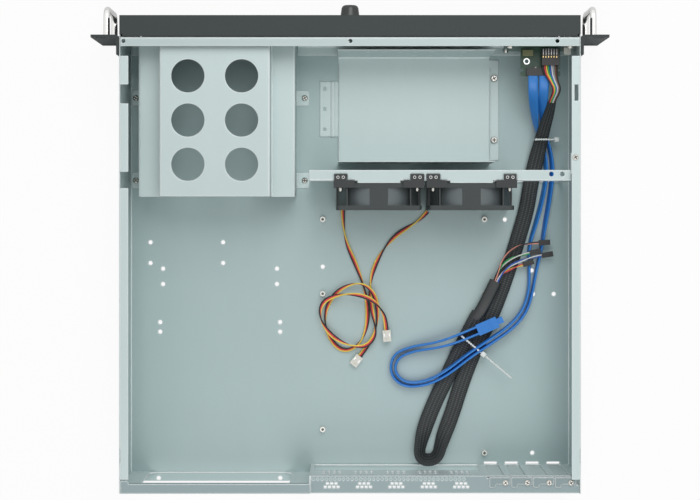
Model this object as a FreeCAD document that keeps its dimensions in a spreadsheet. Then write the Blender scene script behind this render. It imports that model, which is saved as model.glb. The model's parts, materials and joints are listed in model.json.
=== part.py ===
import FreeCAD, Part
import math
import os

# An empty rackmount server case of two rack units, lid off, as a parametric document.
# Millimetres. The front faces -Y and +Z is up; the origin is the middle of the tray's underside.
# Left and right are as seen by someone who faces the front, so right is +X.
#
# The case is as wide as its drive cage, its fans and its cable way need, as deep as its drives,
# fans and board need, and as high as a fan needs. Those three are sums, further down.

SIZES = (
    # Sheet metal, and the clearance between pieces that slide together.
    ("gauge", 1.2),
    ("bend", 1.0),
    ("slip", 0.2),
    # Height: what stays free above the fans' rail and above the cages.
    ("rail_headroom", 5.8),
    ("cage_headroom", 8.0),
    # The tray's top flanges and the cut-outs in them, counted from the front edge.
    ("flange", 8.8),
    ("flange_start", 19.8),
    ("flange_end", 13.0),
    ("first_gap_start", 46.4),
    ("first_gap_length", 17.6),
    ("second_gap_start", 127.65),
    ("second_gap_length", 15.1),
    ("flange_slot_start", 46.5),
    ("flange_slot_length", 15.0),
    ("flange_slot_width", 3.6),
    ("edge_notch_length", 13.0),
    ("edge_notch_from_rear", 35.0),
    ("floor_hole", 4.0),
    ("stud_first", 191.5),
    ("stud_pitch", 14.5),
    ("stud_hole", 5.2),
    # Front wall.
    ("front_wall_setback", 1.9),
    ("front_foot", 10.4),
    ("lid_screw_inset", 4.0),
    ("lid_screw_hole", 3.8),
    ("bay_margin", 0.5),
    ("vent_width", 5.0),
    ("vent_height", 19.0),
    ("vent_pitch", 16.2),
    ("vent_row_pitch", 24.0),
    ("vent_first_row", 20.0),
    # Rack ears, their slots and the pull handles.
    ("ear_gauge", 2.5),
    ("ear_reach", 26.3),
    ("ear_leg", 18.5),
    ("ear_screw_inset", 11.0),
    ("ear_screw_margin", 14.0),
    ("ear_screw_hole", 4.0),
    ("rack_hole_inset", 8.75),
    ("rack_hole_margin", 5.9),
    ("rack_slot_length", 10.3),
    ("rack_slot_height", 7.0),
    ("handle_rod", 6.0),
    ("handle_reach", 28.2),
    ("handle_margin", 14.0),
    ("handle_offset", 13.0),
    ("handle_bend", 8.0),
    # Drive cage on the right: a wide lower bay below a narrow upper one.
    ("cage_gauge", 0.8),
    ("cage_side_gap", 0.9),
    ("cage_width", 148.6),
    ("cage_shoulder", 52.0),
    ("cage_hat_inset", 22.6),
    ("cage_length", 147.2),
    ("cage_window", 31.0),
    ("cage_window_pitch_x", 50.2),
    ("cage_window_pitch_y", 41.3),
    ("cage_window_shift", 2.2),
    ("cage_foot_length", 15.0),
    ("cage_foot_reach", 12.2),
    ("cage_foot_front", 53.7),
    ("cage_foot_rear", 16.5),
    ("cage_screw_reach", 8.0),
    ("drive_screw_hole", 3.6),
    # Disk cage in the middle: an open channel across the case.
    ("disk_front", 13.1),
    ("disk_width", 105.1),
    ("disk_rail_gap", 7.6),
    ("disk_length", 147.4),
    ("disk_right_inset", 26.5),
    ("disk_tongue", 5.8),
    ("disk_tongue_front", 24.3),
    ("disk_tongue_rear", 26.6),
    ("disk_flange", 9.1),
    ("disk_flange_inset", 3.5),
    ("disk_screw_front", 31.0),
    ("disk_screw_rear", 29.0),
    ("disk_hole_pitch", 15.2),
    ("bridge_length", 54.0),
    # Fan rail, the two fans and their clips.
    ("rail_gauge", 1.0),
    ("rail_cage_gap", 1.8),
    ("rail_end_gap", 7.3),
    ("rail_depth", 10.2),
    ("rail_arm", 16.0),
    ("rail_tab_half", 20.0),
    ("rail_screw_forward", 11.7),
    ("cable_side", 53.0),
    ("fan_side", 25.1),
    ("fan_gap", 6.5),
    ("fan_size", 80.0),
    ("fan_depth", 25.0),
    ("fan_wall", 2.0),
    ("fan_hole_inset", 4.25),
    ("fan_hole", 4.3),
    ("fan_lip", 4.2),
    ("fan_rib", 29.6),
    ("fan_pad", 17.0),
    ("fan_standoff", 2.1),
    ("fan_shaft", 3.0),
    ("fan_seat", 31.0),
    ("rotor_hub", 32.0),
    ("running_fit", 0.05),
    ("blade_gap", 0.8),
    ("clip_width", 19.5),
    ("clip_inset", 3.3),
    ("clip_tongue", 11.8),
    ("clip_rise", 2.6),
    # Depth behind the fans, and the posts of the main board.
    ("fan_to_board", 8.81),
    ("board_rear_inset", 27.76),
    ("board_step", 22.86),
    ("board_middle", 154.94),
    ("board_front", 227.33),
    ("board_offset", 163.5),
    ("board_span", 157.48),
    ("standoff_height", 6.0),
    ("standoff_width", 5.2),
    ("standoff_bore", 2.6),
    # Rear panel, its windows and the expansion slot covers.
    ("board_wall_inset", 16.5),
    ("supply_wall_inset", 9.1),
    ("shelf_drop", 3.4),
    ("step_margin", 3.5),
    ("supply_margin_step", 18.5),
    ("supply_margin_wall", 19.1),
    ("supply_margin_top", 8.8),
    ("supply_sill", 0.8),
    ("supply_chamfer", 7.0),
    ("port_window_width", 158.75),
    ("port_window_height", 44.45),
    ("port_slot_gap", 12.65),
    ("window_sill", 2.0),
    ("bank_first", 17.4),
    ("bank_pitch", 30.15),
    ("slot_wall_inset", 15.94),
    ("slot_pitch", 20.32),
    ("slot_opening", 14.2),
    ("cover_width", 18.4),
    ("cover_gauge", 0.9),
    ("cover_tab", 10.0),
    ("cover_screw_offset", 7.9),
    ("cover_screw_back", 6.6),
    # Front door, its lock and its hinge.
    ("door_thickness", 17.6),
    ("door_wall", 1.5),
    ("door_clearance", 0.5),
    ("door_side_gap", 0.4),
    ("door_bottom", 2.0),
    ("hinge_height", 4.8),
    ("hinge_inset", 5.2),
    ("hinge_pin", 3.0),
    ("hinge_eye", 5.6),
    ("hinge_boss", 3.0),
    ("hinge_lug_width", 4.0),
    ("hinge_lug_inset", 9.0),
    ("lock_drop", 32.0),
    ("lock_core", 8.4),
    ("lock_body", 18.0),
    ("lock_tip", 14.8),
    ("lock_thread", 11.0),
    ("lock_collar", 20.6),
    ("lock_reach", 12.4),
    ("lock_tail", 6.0),
    ("cam_gauge", 1.5),
    ("cam_reach", 18.0),
    # Control board behind the front wall, left, and the small board that stands off it.
    ("board_gauge", 1.6),
    ("panel_board_inset", 3.3),
    ("panel_board_width", 63.5),
    ("panel_board_height", 54.0),
    ("panel_board_bottom", 20.0),
    ("panel_board_gap", 5.0),
    ("panel_post_inset", 3.4),
    ("button_place", 50.5),
    ("button_rise", 24.0),
    ("button_pitch", 16.0),
    ("button_cap", 9.0),
    ("button_travel", 1.2),
    ("switch_depth", 2.2),
    ("led_place", 18.5),
    ("led_pitch", 8.0),
    ("led_rise", 46.0),
    ("led_width", 3.0),
    ("usb_place", 20.5),
    ("usb_rise", 10.0),
    ("usb_pitch", 14.0),
    ("usb_width", 13.2),
    ("usb_height", 5.8),
    ("control_gap", 0.2),
    ("small_board_rise", 32.0),
    ("small_board_width", 37.4),
    ("small_board_depth", 26.6),
    ("small_board_inset", 11.4),
    ("header_offset", 10.1),
    ("usb_header_offset", 20.9),
    # Cords, their plugs and their ties.
    ("fan_lead_width", 4.0),
    ("fan_plug_length", 11.0),
    ("fan_plug_width", 7.8),
    ("harness_width", 8.0),
    ("usb_cable_width", 3.2),
    ("usb_plug_length", 21.0),
    ("usb_plug_width", 11.0),
    ("tail_wire", 2.2),
    ("tail_plug_length", 11.0),
    ("tie_width", 2.5),
)

DOC = FreeCAD.newDocument("ServerCase")
SHEET = DOC.addObject("Spreadsheet::Sheet", "Sizes")
for row, (alias, number) in enumerate(SIZES, 1):
    SHEET.set(f"A{row}", alias)
    SHEET.set(f"B{row}", str(number))
    SHEET.setAlias(f"B{row}", alias)
DOC.recompute()

NODES = []


def mm(alias):
    """One size from the sheet."""
    return float(SHEET.get(alias))


def total(*aliases):
    """An expression that adds up sizes from the sheet."""
    return "(" + " + ".join("Sizes." + alias for alias in aliases) + ")"


def value(expression):
    """The number that an expression gives."""
    return float(SHEET.evalExpression(expression))


# ---- Outlines: lists of lines, arcs and circles in a sketch's own plane ----


def point(x, y):
    return FreeCAD.Vector(x, y, 0)


def circle(x, y, diameter):
    return [Part.Circle(point(x, y), FreeCAD.Vector(0, 0, 1), diameter / 2)]


def circles(places, diameter):
    return [circle(x, y, diameter) for x, y in places]


def arc_round(corner, before, after, radius):
    """The arc that rounds a corner between two straight edges, as start, middle and end."""
    to_before = (before - corner).normalize()
    to_after = (after - corner).normalize()
    half = math.acos(max(-1.0, min(1.0, to_before.dot(to_after)))) / 2
    start = corner + to_before * (radius / math.tan(half))
    end = corner + to_after * (radius / math.tan(half))
    bisector = (to_before + to_after).normalize()
    middle = corner + bisector * (radius / math.sin(half) - radius)
    return start, middle, end


def outline(corners, radii=0.0):
    """A closed outline through corners, each rounded by its radius."""
    count = len(corners)
    if not isinstance(radii, (list, tuple)):
        radii = [radii] * count
    corners = [point(*corner) for corner in corners]
    joints = []
    for index, (corner, radius) in enumerate(zip(corners, radii)):
        if radius > 0:
            joints.append(arc_round(corner, corners[index - 1], corners[(index + 1) % count], radius))
        else:
            joints.append((corner, None, corner))
    edges = []
    for index, (start, middle, end) in enumerate(joints):
        if middle is not None:
            edges.append(Part.Arc(start, middle, end))
        following = joints[(index + 1) % count][0]
        if end.distanceToPoint(following) > 1e-6:
            edges.append(Part.LineSegment(end, following))
    return edges


def rectangle(left, bottom, right, top, radius=0.0):
    return outline([(left, bottom), (right, bottom), (right, top), (left, top)], radius)


def centred(x, y, width, height, radius=0.0):
    return rectangle(x - width / 2, y - height / 2, x + width / 2, y + height / 2, radius)


def strip(path, gauge, bend):
    """The section of a folded sheet: path is its one face, and the metal lies to the right of it."""
    path = [point(*place) for place in path]
    runs = [(b - a).normalize() for a, b in zip(path, path[1:])]
    rights = [FreeCAD.Vector(run.y, -run.x, 0) for run in runs]
    other = [path[0] + rights[0] * gauge]
    path_radii = [0.0]
    other_radii = [0.0]
    for index in range(1, len(path) - 1):
        other.append(path[index] + (rights[index - 1] + rights[index]) * gauge)
        turns_right = runs[index - 1].cross(runs[index]).z < 0
        path_radii.append(bend + gauge if turns_right else bend)
        other_radii.append(bend if turns_right else bend + gauge)
    other.append(path[-1] + rights[-1] * gauge)
    path_radii.append(0.0)
    other_radii.append(0.0)
    corners = [(place.x, place.y) for place in path + other[::-1]]
    return outline(corners, path_radii + other_radii[::-1])


def flip(path):
    """A path for strip, mirrored left to right with the metal on the mirrored side."""
    return [(-x, y) for x, y in reversed(path)]


# ---- Features ----


def new_body(label):
    body = DOC.addObject("PartDesign::Body", label)
    body.Label = label
    NODES.append(body)
    return body


def sketch_on(body, plane, middle, outlines):
    """A sketch parallel to an origin plane; middle is an expression for its place along that axis."""
    sketch = body.newObject("Sketcher::SketchObject", body.Name + "_sketch")
    role = plane + "_Plane"
    support = next(item for item in body.Origin.OriginFeatures if item.Role == role)
    sketch.AttachmentSupport = [(support, "")]
    sketch.MapMode = "FlatFace"
    # The XZ plane's normal is -Y.
    sign = "-" if plane == "XZ" else ""
    sketch.setExpression("AttachmentOffset.Base.z", f"{sign}({middle})")
    for shape in outlines:
        sketch.addGeometry(shape, False)
    return sketch


def extrude(kind, body, plane, middle, length, outlines):
    sketch = sketch_on(body, plane, middle, outlines)
    feature = body.newObject("PartDesign::" + kind, body.Name + "_" + kind.lower())
    feature.Profile = sketch
    feature.SideType = "Symmetric"
    feature.setExpression("Length", length)
    return feature


def pad(body, plane, middle, length, outlines):
    """Metal on both sides of the middle plane, length in all."""
    return extrude("Pad", body, plane, middle, length, outlines)


def cut(body, plane, middle, length, outlines):
    """A cut through whatever lies within half the length of the middle plane."""
    return extrude("Pocket", body, plane, middle, length, outlines)


def shape_node(label, shape):
    """A piece, or a group of like pieces, whose shape is made with Part's own functions."""
    feature = DOC.addObject("Part::Feature", label)
    feature.Label = label
    feature.Shape = shape
    NODES.append(feature)
    return feature


def block(x0, y0, z0, x1, y1, z1):
    """A box between two opposite corners."""
    return Part.makeBox(x1 - x0, y1 - y0, z1 - z0, FreeCAD.Vector(x0, y0, z0))


def turned(profile, start, along):
    """A turned solid: profile is (distance along the axis, radius) pairs, closed by the axis."""
    corners = [(profile[0][0], 0.0)] + list(profile) + [(profile[-1][0], 0.0)]
    return turned_ring(corners, start, along)


def turned_ring(profile, start, along):
    """A turned solid whose profile closes on itself, so that it may leave the middle open."""
    points = []
    for distance, radius in profile:
        place = FreeCAD.Vector(radius, 0, distance)
        if not points or place.distanceToPoint(points[-1]) > 1e-6:
            points.append(place)
    if points[0].distanceToPoint(points[-1]) < 1e-6:
        points.pop()
    face = Part.Face(Part.makePolygon(points + points[:1]))
    solid = face.revolve(FreeCAD.Vector(), FreeCAD.Vector(0, 0, 1), 360)
    turn = FreeCAD.Rotation(FreeCAD.Vector(0, 0, 1), FreeCAD.Vector(*along))
    solid.Placement = FreeCAD.Placement(FreeCAD.Vector(*start), turn)
    return solid


def group(label, profile, places, along):
    """Like turned pieces, such as one set of screws, as separate solids in one node."""
    return shape_node(label, Part.makeCompound([turned(profile, place, along) for place in places]))


def screw(head, head_height, shank, length):
    """Profile of a low-headed screw: the tip at 0 and the head's underside at length."""
    return [
        (0.0, shank / 2 * 0.7),
        (shank * 0.3, shank / 2),
        (length, shank / 2),
        (length, head / 2),
        (length + head_height * 0.6, head / 2 * 0.96),
        (length + head_height, head / 2 * 0.6),
    ]


# ---- The three sums that size the case ----

RAIL_LENGTH = total("fan_side", "fan_size", "fan_gap", "fan_size", "cable_side")
CAGE_SPAN = total("cage_foot_reach", "cage_width", "cage_foot_reach")
INNER_WIDTH = f"({CAGE_SPAN} + {RAIL_LENGTH} + {total('cage_side_gap', 'rail_cage_gap', 'rail_end_gap')})"
WIDTH = f"({INNER_WIDTH} + 2 * Sizes.gauge)"
RAIL_PLACE = total("disk_front", "disk_width", "disk_rail_gap")
DEPTH = f"({RAIL_PLACE} + " + total(
    "rail_depth", "fan_standoff", "fan_depth", "fan_to_board", "board_front", "board_rear_inset"
) + ")"
HEIGHT = total("gauge", "fan_size", "rail_gauge", "rail_headroom")
FRONT_EDGE = f"(-{DEPTH} / 2)"
REAR_EDGE = f"({DEPTH} / 2)"
ROOF = f"({HEIGHT} - Sizes.gauge / 2)"

# ---- Places that several pieces share ----

HALF_WIDTH = value(WIDTH) / 2
INNER_HALF = HALF_WIDTH - mm("gauge")
FRONT = value(FRONT_EDGE)
REAR = value(REAR_EDGE)
TOP = value(HEIGHT)
FLOOR = mm("gauge")
WALL_FRONT = FRONT + mm("front_wall_setback")
WALL_BACK = WALL_FRONT + mm("gauge")

CAGE_FRONT = WALL_BACK + mm("slip")
CAGE_CENTRE = INNER_HALF - mm("cage_side_gap") - mm("cage_foot_reach") - mm("cage_width") / 2
CAGE_HAT = mm("cage_width") / 2 - mm("cage_hat_inset")
CAGE_TOP = TOP - mm("cage_headroom")
CAGE_REAR = CAGE_FRONT + mm("cage_length")
CAGE_FEET = [FRONT + mm("cage_foot_front"), CAGE_REAR - mm("cage_foot_rear")]
CAGE_FLOOR = FLOOR + mm("cage_gauge")

RAIL_LEFT = -INNER_HALF + mm("rail_end_gap")
RAIL_RIGHT = RAIL_LEFT + value(RAIL_LENGTH)
RAIL_FRONT = FRONT + value(RAIL_PLACE)
RAIL_REAR = RAIL_FRONT + mm("rail_depth")
RAIL_TOP = TOP - mm("rail_headroom")
RAIL_SCREW = (RAIL_LEFT - 3.2, RAIL_FRONT - mm("rail_screw_forward"))

DISK_FRONT = FRONT + mm("disk_front")
DISK_REAR = DISK_FRONT + mm("disk_width")
DISK_MIDDLE = (DISK_FRONT + DISK_REAR) / 2
DISK_RIGHT = RAIL_RIGHT - mm("disk_right_inset")
DISK_LEFT = DISK_RIGHT - mm("disk_length")

FAN_FRONT = RAIL_REAR + mm("fan_standoff")
FAN_REAR = FAN_FRONT + mm("fan_depth")
FAN_AXIS = FLOOR + mm("fan_size") / 2
FAN_BORE = mm("fan_size") - 2 * mm("fan_wall")
FAN_CORNER = mm("fan_size") / 2 - mm("fan_hole_inset")
FAN_PITCH = mm("fan_size") + mm("fan_gap")
FAN_CENTRES = [RAIL_RIGHT - mm("fan_side") - mm("fan_size") / 2 - FAN_PITCH * index for index in range(2)]
FAN_SCREWS = [centre + side * FAN_CORNER for centre in FAN_CENTRES for side in (1, -1)]
CLIPS = [
    centre + side * (FAN_CORNER - mm("clip_inset")) for centre in FAN_CENTRES for side in (1, -1)
]

BOARD_WALL = REAR - mm("board_wall_inset")
SUPPLY_WALL = REAR - mm("supply_wall_inset")
SHELF = TOP - mm("shelf_drop")
LAST_SLOT = -INNER_HALF + mm("slot_wall_inset")
SLOTS = [LAST_SLOT + mm("slot_pitch") * number for number in (3, 2, 1, 0)]
COVER_SCREW_Y = BOARD_WALL + mm("cover_screw_back")
PORT_LEFT = SLOTS[0] + mm("port_slot_gap")
PORT_RIGHT = PORT_LEFT + mm("port_window_width")
PORT_BOTTOM = FLOOR + mm("window_sill")
PORT_TOP = PORT_BOTTOM + mm("port_window_height")
STEP = PORT_RIGHT + mm("step_margin")
VENT_BANKS = [PORT_RIGHT - mm("bank_first") - mm("bank_pitch") * number for number in range(5)]

BOARD_REAR = REAR - mm("board_rear_inset")
BOARD_RIGHT = SLOTS[0] + mm("board_offset")
BOARD_LEFT = BOARD_RIGHT - mm("board_span")

DOOR_BACK = FRONT - mm("door_clearance")
DOOR_FRONT = DOOR_BACK - mm("door_thickness")
HINGE_Y = DOOR_FRONT + mm("hinge_inset")
HINGE_Z = mm("door_bottom") + mm("hinge_height")
HINGE_LUG = HALF_WIDTH - mm("hinge_lug_inset")
LOCK_Z = TOP - mm("lock_drop")
CAM_Y = DOOR_FRONT + mm("lock_tail") + 2.6
EAR_SCREW_Y = FRONT + mm("ear_screw_inset")
EAR_SCREWS = (mm("ear_screw_margin"), TOP / 2, TOP - mm("ear_screw_margin"))
STUDS = [FRONT + mm("stud_first") + mm("stud_pitch") * number for number in range(2)]

PANEL_FRONT = WALL_BACK + mm("panel_board_gap")
PANEL_BACK = PANEL_FRONT + mm("board_gauge")
PANEL_LEFT = -INNER_HALF + mm("panel_board_inset")
PANEL_RIGHT = PANEL_LEFT + mm("panel_board_width")
PANEL_BOTTOM = mm("panel_board_bottom")
PANEL_TOP = PANEL_BOTTOM + mm("panel_board_height")
BUTTON_X = PANEL_LEFT + mm("button_place")
BUTTON_LOW = PANEL_BOTTOM + mm("button_rise")
BUTTONS = [(BUTTON_X, BUTTON_LOW + mm("button_pitch")), (BUTTON_X, BUTTON_LOW)]
LEDS = [PANEL_LEFT + mm("led_place") + mm("led_pitch") * number for number in (2, 1, 0)]
LED_Z = PANEL_BOTTOM + mm("led_rise")
USB_X = PANEL_LEFT + mm("usb_place")
USB_ROWS = [PANEL_BOTTOM + mm("usb_rise") + mm("usb_pitch") * number for number in range(2)]
SMALL_LEFT = PANEL_LEFT + mm("small_board_inset")
SMALL_RIGHT = SMALL_LEFT + mm("small_board_width")
SMALL_REAR = PANEL_BACK + mm("small_board_depth")
SMALL_BOTTOM = PANEL_BOTTOM + mm("small_board_rise")
SMALL_TOP = SMALL_BOTTOM + mm("board_gauge")


def standoff_places():
    """Board posts: two full rows, and one post near each rear corner."""
    rows = (BOARD_REAR - mm("board_front"), BOARD_REAR - mm("board_middle"))
    places = [(x, y) for y in rows for x in (BOARD_RIGHT, BOARD_LEFT)]
    return places + [(BOARD_RIGHT, BOARD_REAR - mm("board_step")), (BOARD_LEFT, BOARD_REAR)]


def cage_screw_places():
    reach = mm("cage_width") / 2 + mm("cage_screw_reach")
    return [(CAGE_CENTRE + side * reach, y) for y in CAGE_FEET for side in (1, -1)]


def disk_screw_places():
    x = DISK_LEFT - mm("disk_flange") / 2
    return [(x, DISK_MIDDLE - mm("disk_screw_front")), (x, DISK_MIDDLE + mm("disk_screw_rear"))]


def panel_post_places():
    inset = mm("panel_post_inset")
    rows = (PANEL_BOTTOM + inset, PANEL_TOP - inset)
    return [(x, z) for x in (PANEL_LEFT + inset, PANEL_RIGHT - inset) for z in rows]


def floor_hole_places():
    """Spare mounting holes: pairs for a power supply on the right, and single ones for other boards."""
    wall = INNER_HALF
    pairs = (
        ((19.3, 90.1), (232.7, 212.5)),
        ((31.6, 142.6), (207.0, 192.0)),
        ((28.8, 145.7), (154.9, 145.5)),
        ((27.2, 145.8), (2.8,)),
    )
    places = [(wall - x, REAR - y) for columns, rows in pairs for x in columns for y in rows]
    singles = ((35.2, 182.3), (15.2, 182.3), (62.8, 254.8), (36.6, 205.3), (36.1, 27.5))
    places += [(x - wall, REAR - y) for x, y in singles]
    return places + [(BOARD_RIGHT, BOARD_REAR - 181.14)]


# ---- Sheet metal ----


def base_tray():
    """The tray: a floor and two side walls folded from one sheet, each wall with a flange on top."""
    body = new_body("base_tray")
    gauge = mm("gauge")
    bend = mm("bend")
    lip = HALF_WIDTH - mm("flange")
    path = [(lip, TOP), (HALF_WIDTH, TOP), (HALF_WIDTH, 0)]
    path += [(-x, z) for x, z in reversed(path)]
    pad(body, "XZ", "0", DEPTH, [strip(path, gauge, bend)])
    under = TOP - gauge - bend
    across = rectangle(-INNER_HALF, under, INNER_HALF, TOP + bend)
    cut(body, "XZ", FRONT_EDGE, "2 * Sizes.flange_start", [across])
    cut(body, "XZ", REAR_EDGE, "2 * Sizes.flange_end", [across])
    right_flange = rectangle(0, under, INNER_HALF, TOP + bend)
    for name in ("first_gap", "second_gap"):
        middle = f"{FRONT_EDGE} + Sizes.{name}_start + Sizes.{name}_length / 2"
        cut(body, "XZ", middle, f"Sizes.{name}_length", [right_flange])
    tray_holes(body)
    wall_holes(body)


def tray_holes(body):
    """Holes in the floor and in the left flange, and the notches in the top corners."""
    notch = mm("edge_notch_length")
    middle = REAR - mm("edge_notch_from_rear")
    corners = [centred(side * HALF_WIDTH, middle, 2 * mm("gauge"), notch) for side in (1, -1)]
    cut(body, "XY", HEIGHT, "5 * Sizes.gauge", corners)
    width = mm("flange_slot_width")
    start = FRONT + mm("flange_slot_start")
    left = -HALF_WIDTH + mm("flange") / 2 - width / 2
    slot = rectangle(left, start, left + width, start + mm("flange_slot_length"))
    cut(body, "XY", ROOF, "3 * Sizes.gauge", [slot, circle(*RAIL_SCREW, 3.4)])
    holes = circles(floor_hole_places(), mm("floor_hole"))
    holes += circles(cage_screw_places(), 3.4)
    holes += circles(disk_screw_places(), 3.6)
    holes += [centred(x, BOARD_WALL - 1.3, 12.7, 2.2, 1.0) for x in SLOTS]
    cut(body, "XY", "Sizes.gauge / 2", "3 * Sizes.gauge", holes)


def wall_holes(body):
    """Holes in both side walls, for the studs and the screws of the rack ears."""
    slide = f"({WIDTH} - Sizes.gauge) / 2"
    for sign in ("", "-"):
        holes = circles([(y, TOP / 2) for y in STUDS], mm("stud_hole"))
        holes += circles([(EAR_SCREW_Y, z) for z in EAR_SCREWS], mm("ear_screw_hole"))
        cut(body, "YZ", f"{sign}{slide}", "3 * Sizes.gauge", holes)


def tray_corners():
    """What an upright sheet leaves free for the tray's two lower bends."""
    inner = INNER_HALF - mm("bend")
    high = FLOOR + mm("bend")
    return [
        rectangle(inner, FLOOR - 1, HALF_WIDTH, high),
        rectangle(-HALF_WIDTH, FLOOR - 1, -inner, high),
    ]


def front_wall():
    """The wall behind the door, folded along its top and foot."""
    body = new_body("front_wall")
    foot = WALL_FRONT + mm("front_foot")
    path = [(foot, FLOOR), (WALL_FRONT, FLOOR), (WALL_FRONT, TOP), (WALL_FRONT + mm("flange"), TOP)]
    width = f"{INNER_WIDTH} - 2 * Sizes.slip"
    pad(body, "YZ", "0", width, [strip(path, mm("gauge"), mm("bend"))])
    wall = f"{FRONT_EDGE} + Sizes.front_wall_setback + Sizes.gauge / 2"
    cut(body, "XZ", wall, "4 * Sizes.front_foot", tray_corners())
    reach = mm("cage_width") / 2 + 1.0
    cage = rectangle(CAGE_CENTRE - reach, CAGE_FRONT - mm("slip"), CAGE_CENTRE + reach, foot + 1)
    cut(body, "XY", "Sizes.gauge", "4 * Sizes.gauge", [cage])
    openings = drive_bays() + front_vents() + control_holes()
    cut(body, "XZ", wall, "3 * Sizes.gauge", openings)
    lid_y = WALL_FRONT + mm("lid_screw_inset")
    places = [(x, lid_y) for x in (INNER_HALF - 3.1, -0.4, 20.9 - INNER_HALF)]
    cut(body, "XY", ROOF, "3 * Sizes.gauge", circles(places, mm("lid_screw_hole")))


def drive_bays():
    """The openings in front of the cage's two bays."""
    margin = mm("cage_gauge") + mm("bay_margin")
    wide = mm("cage_width") / 2 - margin
    narrow = CAGE_HAT - margin
    shoulder = mm("cage_shoulder")
    return [
        rectangle(CAGE_CENTRE - wide, FLOOR + 2.5, CAGE_CENTRE + wide, shoulder - 2.6, 1.5),
        rectangle(CAGE_CENTRE - narrow, shoulder, CAGE_CENTRE + narrow, CAGE_TOP - 2, 1.5),
    ]


def front_vents():
    """Three rows of upright slots in front of the disk cage."""
    first = DISK_RIGHT - 9.0
    columns = int((mm("disk_length") - 9.0) / mm("vent_pitch")) + 1
    size = (mm("vent_width"), mm("vent_height"), mm("vent_width") / 2 - 0.1)
    places = [
        (first - mm("vent_pitch") * column, mm("vent_first_row") + mm("vent_row_pitch") * row)
        for column in range(columns) for row in range(3)
    ]
    return [centred(*place, *size) for place in places]


def control_holes():
    """Holes in the front wall for the buttons, the lenses and the two ports."""
    clear = 2 * mm("control_gap")
    holes = circles(BUTTONS, mm("button_cap") + clear + mm("control_gap"))
    holes += circles([(x, LED_Z) for x in LEDS], mm("led_width") + clear)
    return holes + [centred(USB_X, z, mm("usb_width") + clear, mm("usb_height") + clear) for z in USB_ROWS]


def rear_panel():
    """Two walls a step apart, with the shelf that the covers hang from and the flanges on top."""
    body = new_body("rear_panel")
    gauge = mm("gauge")
    side = INNER_HALF - mm("slip")
    lip = HALF_WIDTH - mm("flange") - mm("slip")
    supply = f"{REAR_EDGE} - Sizes.supply_wall_inset + Sizes.gauge / 2"
    board = f"{REAR_EDGE} - Sizes.board_wall_inset + Sizes.gauge / 2"
    shelf = f"{HEIGHT} - Sizes.shelf_drop - Sizes.gauge / 2"
    tray_end = REAR - mm("flange_end") + 1
    # The wall behind the power supply, and its flange.
    pad(body, "XZ", supply, "Sizes.gauge", [rectangle(STEP - gauge, FLOOR, side, TOP)])
    corners = [(STEP - gauge, SUPPLY_WALL), (lip, SUPPLY_WALL), (lip, tray_end), (side, tray_end)]
    corners += [(side, REAR), (STEP - gauge, REAR)]
    pad(body, "XY", ROOF, "Sizes.gauge", [outline(corners)])
    # The wall behind the main board, the step between the two, and the shelf.
    pad(body, "XZ", board, "Sizes.gauge", [rectangle(-side, FLOOR, STEP, SHELF)])
    corners = [(BOARD_WALL, FLOOR), (REAR, FLOOR), (REAR, TOP), (SUPPLY_WALL, TOP), (BOARD_WALL, SHELF)]
    pad(body, "YZ", f"{STEP} - Sizes.gauge / 2", "Sizes.gauge", [outline(corners)])
    corners = [(STEP, BOARD_WALL), (STEP, REAR), (-side, REAR), (-side, REAR - 8), (-lip, REAR - 8)]
    corners.append((-lip, BOARD_WALL))
    pad(body, "XY", shelf, "Sizes.gauge", [outline(corners)])
    rims = [rectangle(-side, SHELF - 6, STEP, SHELF), rectangle(STEP - gauge, TOP - 4, side, TOP)]
    pad(body, "XZ", f"({DEPTH} - Sizes.gauge) / 2", "Sizes.gauge", rims)
    cut(body, "XZ", REAR_EDGE, "4 * Sizes.board_wall_inset", tray_corners())
    cut(body, "XZ", supply, "2 * Sizes.gauge", [supply_window()])
    cut(body, "XZ", board, "2 * Sizes.gauge", board_windows())
    cut(body, "XY", shelf, "3 * Sizes.gauge", shelf_holes())


def supply_window():
    """The power supply's window, with its two lower corners cut off."""
    left = STEP + mm("supply_margin_step")
    right = INNER_HALF - mm("supply_margin_wall")
    low = FLOOR + mm("supply_sill")
    high = TOP - mm("supply_margin_top")
    chamfer = mm("supply_chamfer")
    return outline([
        (left + chamfer, low), (right - chamfer, low), (right, low + chamfer),
        (right, high), (left, high), (left, low + chamfer),
    ])


def board_windows():
    """The port window, the slots' openings and two rows of vents above the ports."""
    half = mm("slot_opening") / 2
    windows = [rectangle(PORT_LEFT, PORT_BOTTOM, PORT_RIGHT, PORT_TOP)]
    windows += [rectangle(x - half, PORT_BOTTOM, x + half, SHELF - 4) for x in SLOTS]
    for bank in VENT_BANKS:
        for column in range(4):
            for row in range(2):
                x = bank - 7.5 + 5 * column
                windows.append(centred(x, PORT_TOP + 8.35 + 12 * row, 2.6, 9.0, 1.2))
    return windows


def shelf_holes():
    """Holes in the shelf: a row, five banks, and each cover's blade and screw."""
    across = PORT_RIGHT - PORT_LEFT
    holes = circles([(PORT_RIGHT - 0.5 - 4 * n, BOARD_WALL + 3.4) for n in range(int(across / 4.4))], 2.2)
    for bank in VENT_BANKS:
        holes += [centred(bank + 4 * n - 4, BOARD_WALL + 7.4, 2.4, 1.8) for n in range(3)]
        holes += [centred(bank + 4 * n - 6, BOARD_WALL + 10.6, 2.4, 1.8) for n in range(4)]
    depth = mm("cover_gauge") + 2 * mm("slip")
    width = mm("cover_width") + 2 * mm("slip")
    holes += [centred(x, BOARD_WALL + mm("gauge") + depth / 2, width, depth) for x in SLOTS]
    return holes + circles([(x - mm("cover_screw_offset"), COVER_SCREW_Y) for x in SLOTS], 2.8)


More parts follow.
